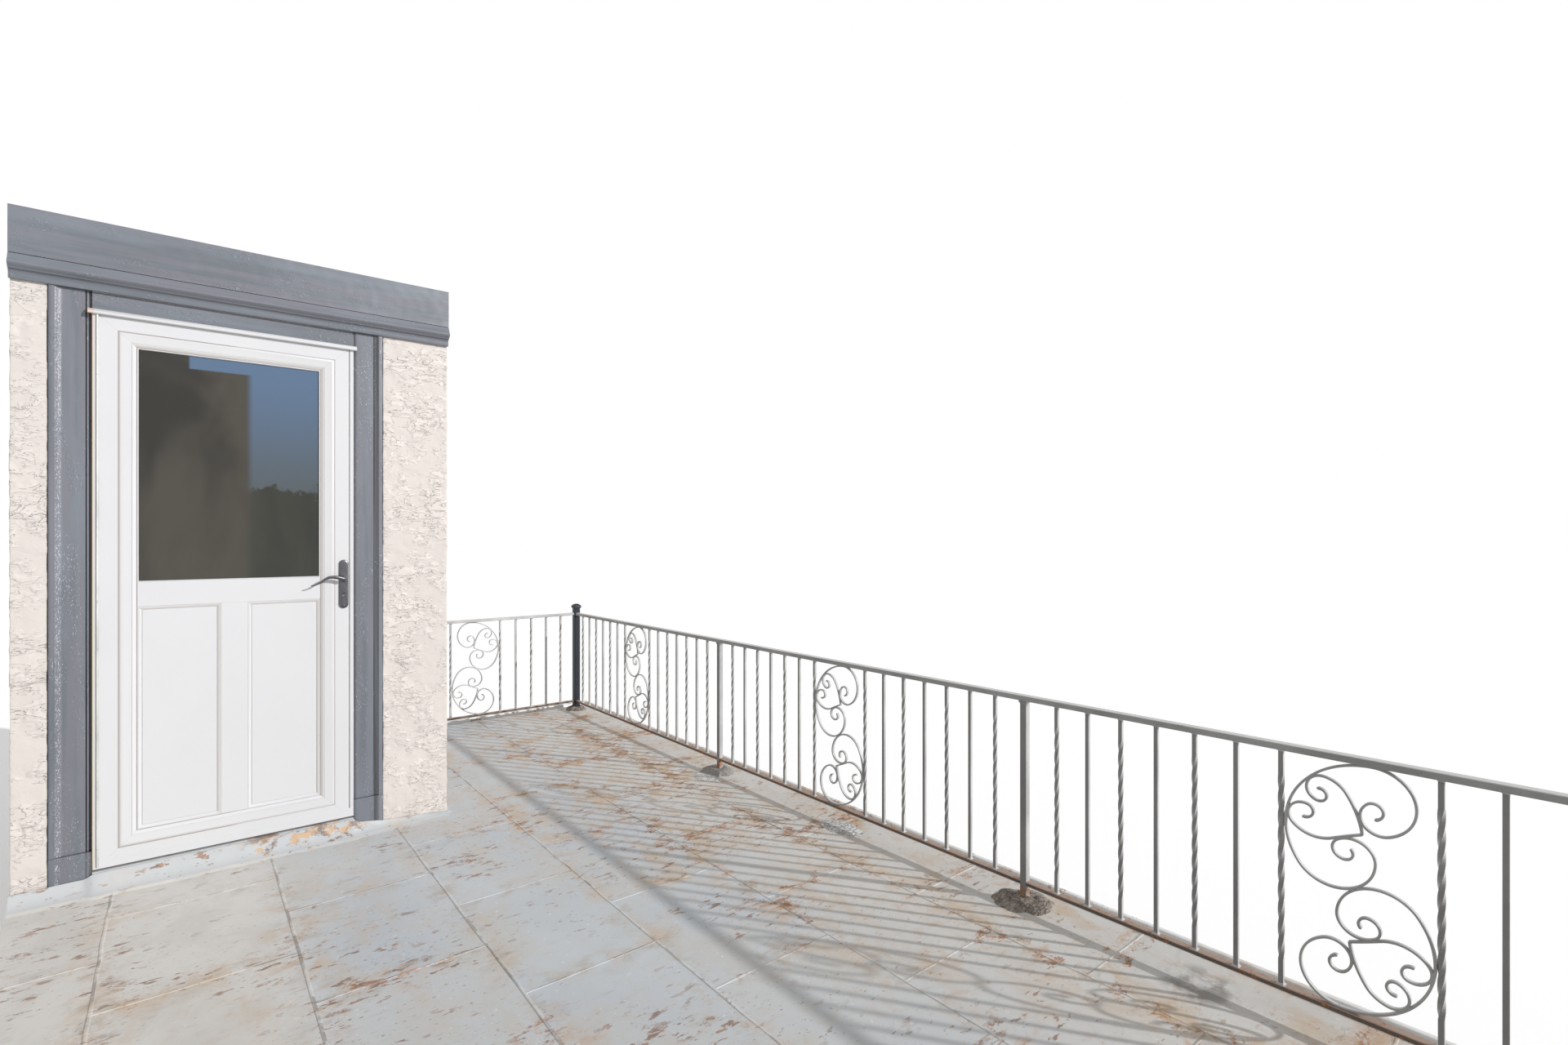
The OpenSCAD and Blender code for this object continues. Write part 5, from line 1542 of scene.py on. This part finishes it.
FLOOR_HALF = 90.0     # half the side of the floor
FLOOR_GLOW = 0.12     # what the floor adds where it is seen, so that it looks white
SENSOR = 36.0         # width of the camera's frame in millimetres


class BALCONY_OT_stage(bpy.types.Operator):
    """Pale floor, soft light from all round, one low sun lamp, and the camera"""
    bl_idname = "balcony.stage"
    bl_label = "Stage"

    def execute(self, context):
        scene = context.scene
        s, p = scene.balcony_stage, PLAN
        mat, t, shader, _ = new_material("studio_floor")
        finish(t, shader, None, None, None, Base_Color=(0.97, 0.97, 0.97, 1), Roughness=0.95)
        t.links.new(times(t, seen_rays(t), FLOOR_GLOW), shader.inputs["Emission Strength"])
        mesh = bpy.data.meshes.new("floor")
        r = FLOOR_HALF
        mesh.from_pydata([(-r, -r, 0), (r, -r, 0), (r, r, 0), (-r, r, 0)], [], [(0, 1, 2, 3)])
        floor = bpy.data.objects.new("floor", mesh)
        mesh.materials.append(mat)
        scene.collection.objects.link(floor)

        world = bpy.data.worlds.new("studio")
        world.use_nodes = True
        tree = world.node_tree
        tree.nodes.clear()
        strength = node(tree, "ShaderNodeMapRange", {0: seen_rays(tree), 3: s.sky, 4: 1.0}).outputs[0]
        back = node(tree, "ShaderNodeBackground", {0: (1, 1, 1, 1), 1: strength})
        out = tree.nodes.new("ShaderNodeOutputWorld")
        tree.links.new(back.outputs[0], out.inputs[0])
        scene.world = world

        lamp = bpy.data.lights.new("sun", "SUN")
        lamp.energy, lamp.angle = s.key, s.softness
        obj = bpy.data.objects.new("sun", lamp)
        obj.location = (0.0, -4.0, 6.0)
        x, y, z = s.sun_from
        obj.rotation_euler = (math.atan2(math.hypot(x, y), z), 0, math.atan2(x, -y))
        scene.collection.objects.link(obj)

        cam = bpy.data.cameras.new("view")
        cam.sensor_width, cam.lens, cam.shift_y = SENSOR, s.lens, s.shift
        cam.clip_start, cam.clip_end = 0.02, 300.0
        obj = bpy.data.objects.new("view", cam)
        obj.location = (p.x_far - s.back_x, p.y_rail + s.back_y, p.deck_z + s.eye)
        obj.rotation_euler = (math.pi / 2, 0, -math.pi / 2 - s.heading)
        scene.collection.objects.link(obj)
        scene.camera = obj
        scene.view_settings.view_transform = "Standard"
        return {"FINISHED"}


STEPS = (BALCONY_OT_finishes, BALCONY_OT_pickets, BALCONY_OT_scrolls, BALCONY_OT_posts, BALCONY_OT_deck,
         BALCONY_OT_flashing, BALCONY_OT_stucco, BALCONY_OT_trim, BALCONY_OT_door, BALCONY_OT_lever,
         BALCONY_OT_stage)


class BALCONY_PT_panel(bpy.types.Panel):
    """Lists the balcony's pieces and their sizes"""
    bl_idname = "BALCONY_PT_panel"
    bl_label = "Walk-out Balcony"
    bl_space_type = "VIEW_3D"
    bl_region_type = "UI"
    bl_category = "Balcony"

    def draw(self, context):
        for name in GROUPS:
            sizes = getattr(context.scene, name)
            box = self.layout.box()
            box.label(text=GROUPS[name].__name__)
            for key in sizes.bl_rna.properties.keys():
                if key not in ("rna_type", "name"):
                    box.prop(sizes, key)
        for step in STEPS:
            self.layout.operator(step.bl_idname)


GROUPS = {"balcony_finishes": BalconyFinishes, "balcony_railing": BalconyRailing, "balcony_wall": BalconyWall,
          "balcony_door": BalconyDoor, "balcony_stage": BalconyStage}


def register():
    for cls in (*GROUPS.values(), *STEPS, BALCONY_PT_panel):
        bpy.utils.register_class(cls)
    for name, cls in GROUPS.items():
        setattr(bpy.types.Scene, name, bpy.props.PointerProperty(type=cls))


def unregister():
    for name in GROUPS:
        delattr(bpy.types.Scene, name)
    for cls in (BALCONY_PT_panel, *STEPS[::-1], *list(GROUPS.values())[::-1]):
        bpy.utils.unregister_class(cls)


def main():
    register()
    for step in STEPS:
        group, name = step.bl_idname.split(".")
        getattr(getattr(bpy.ops, group), name)()
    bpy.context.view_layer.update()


if __name__ == "__main__":
    main()
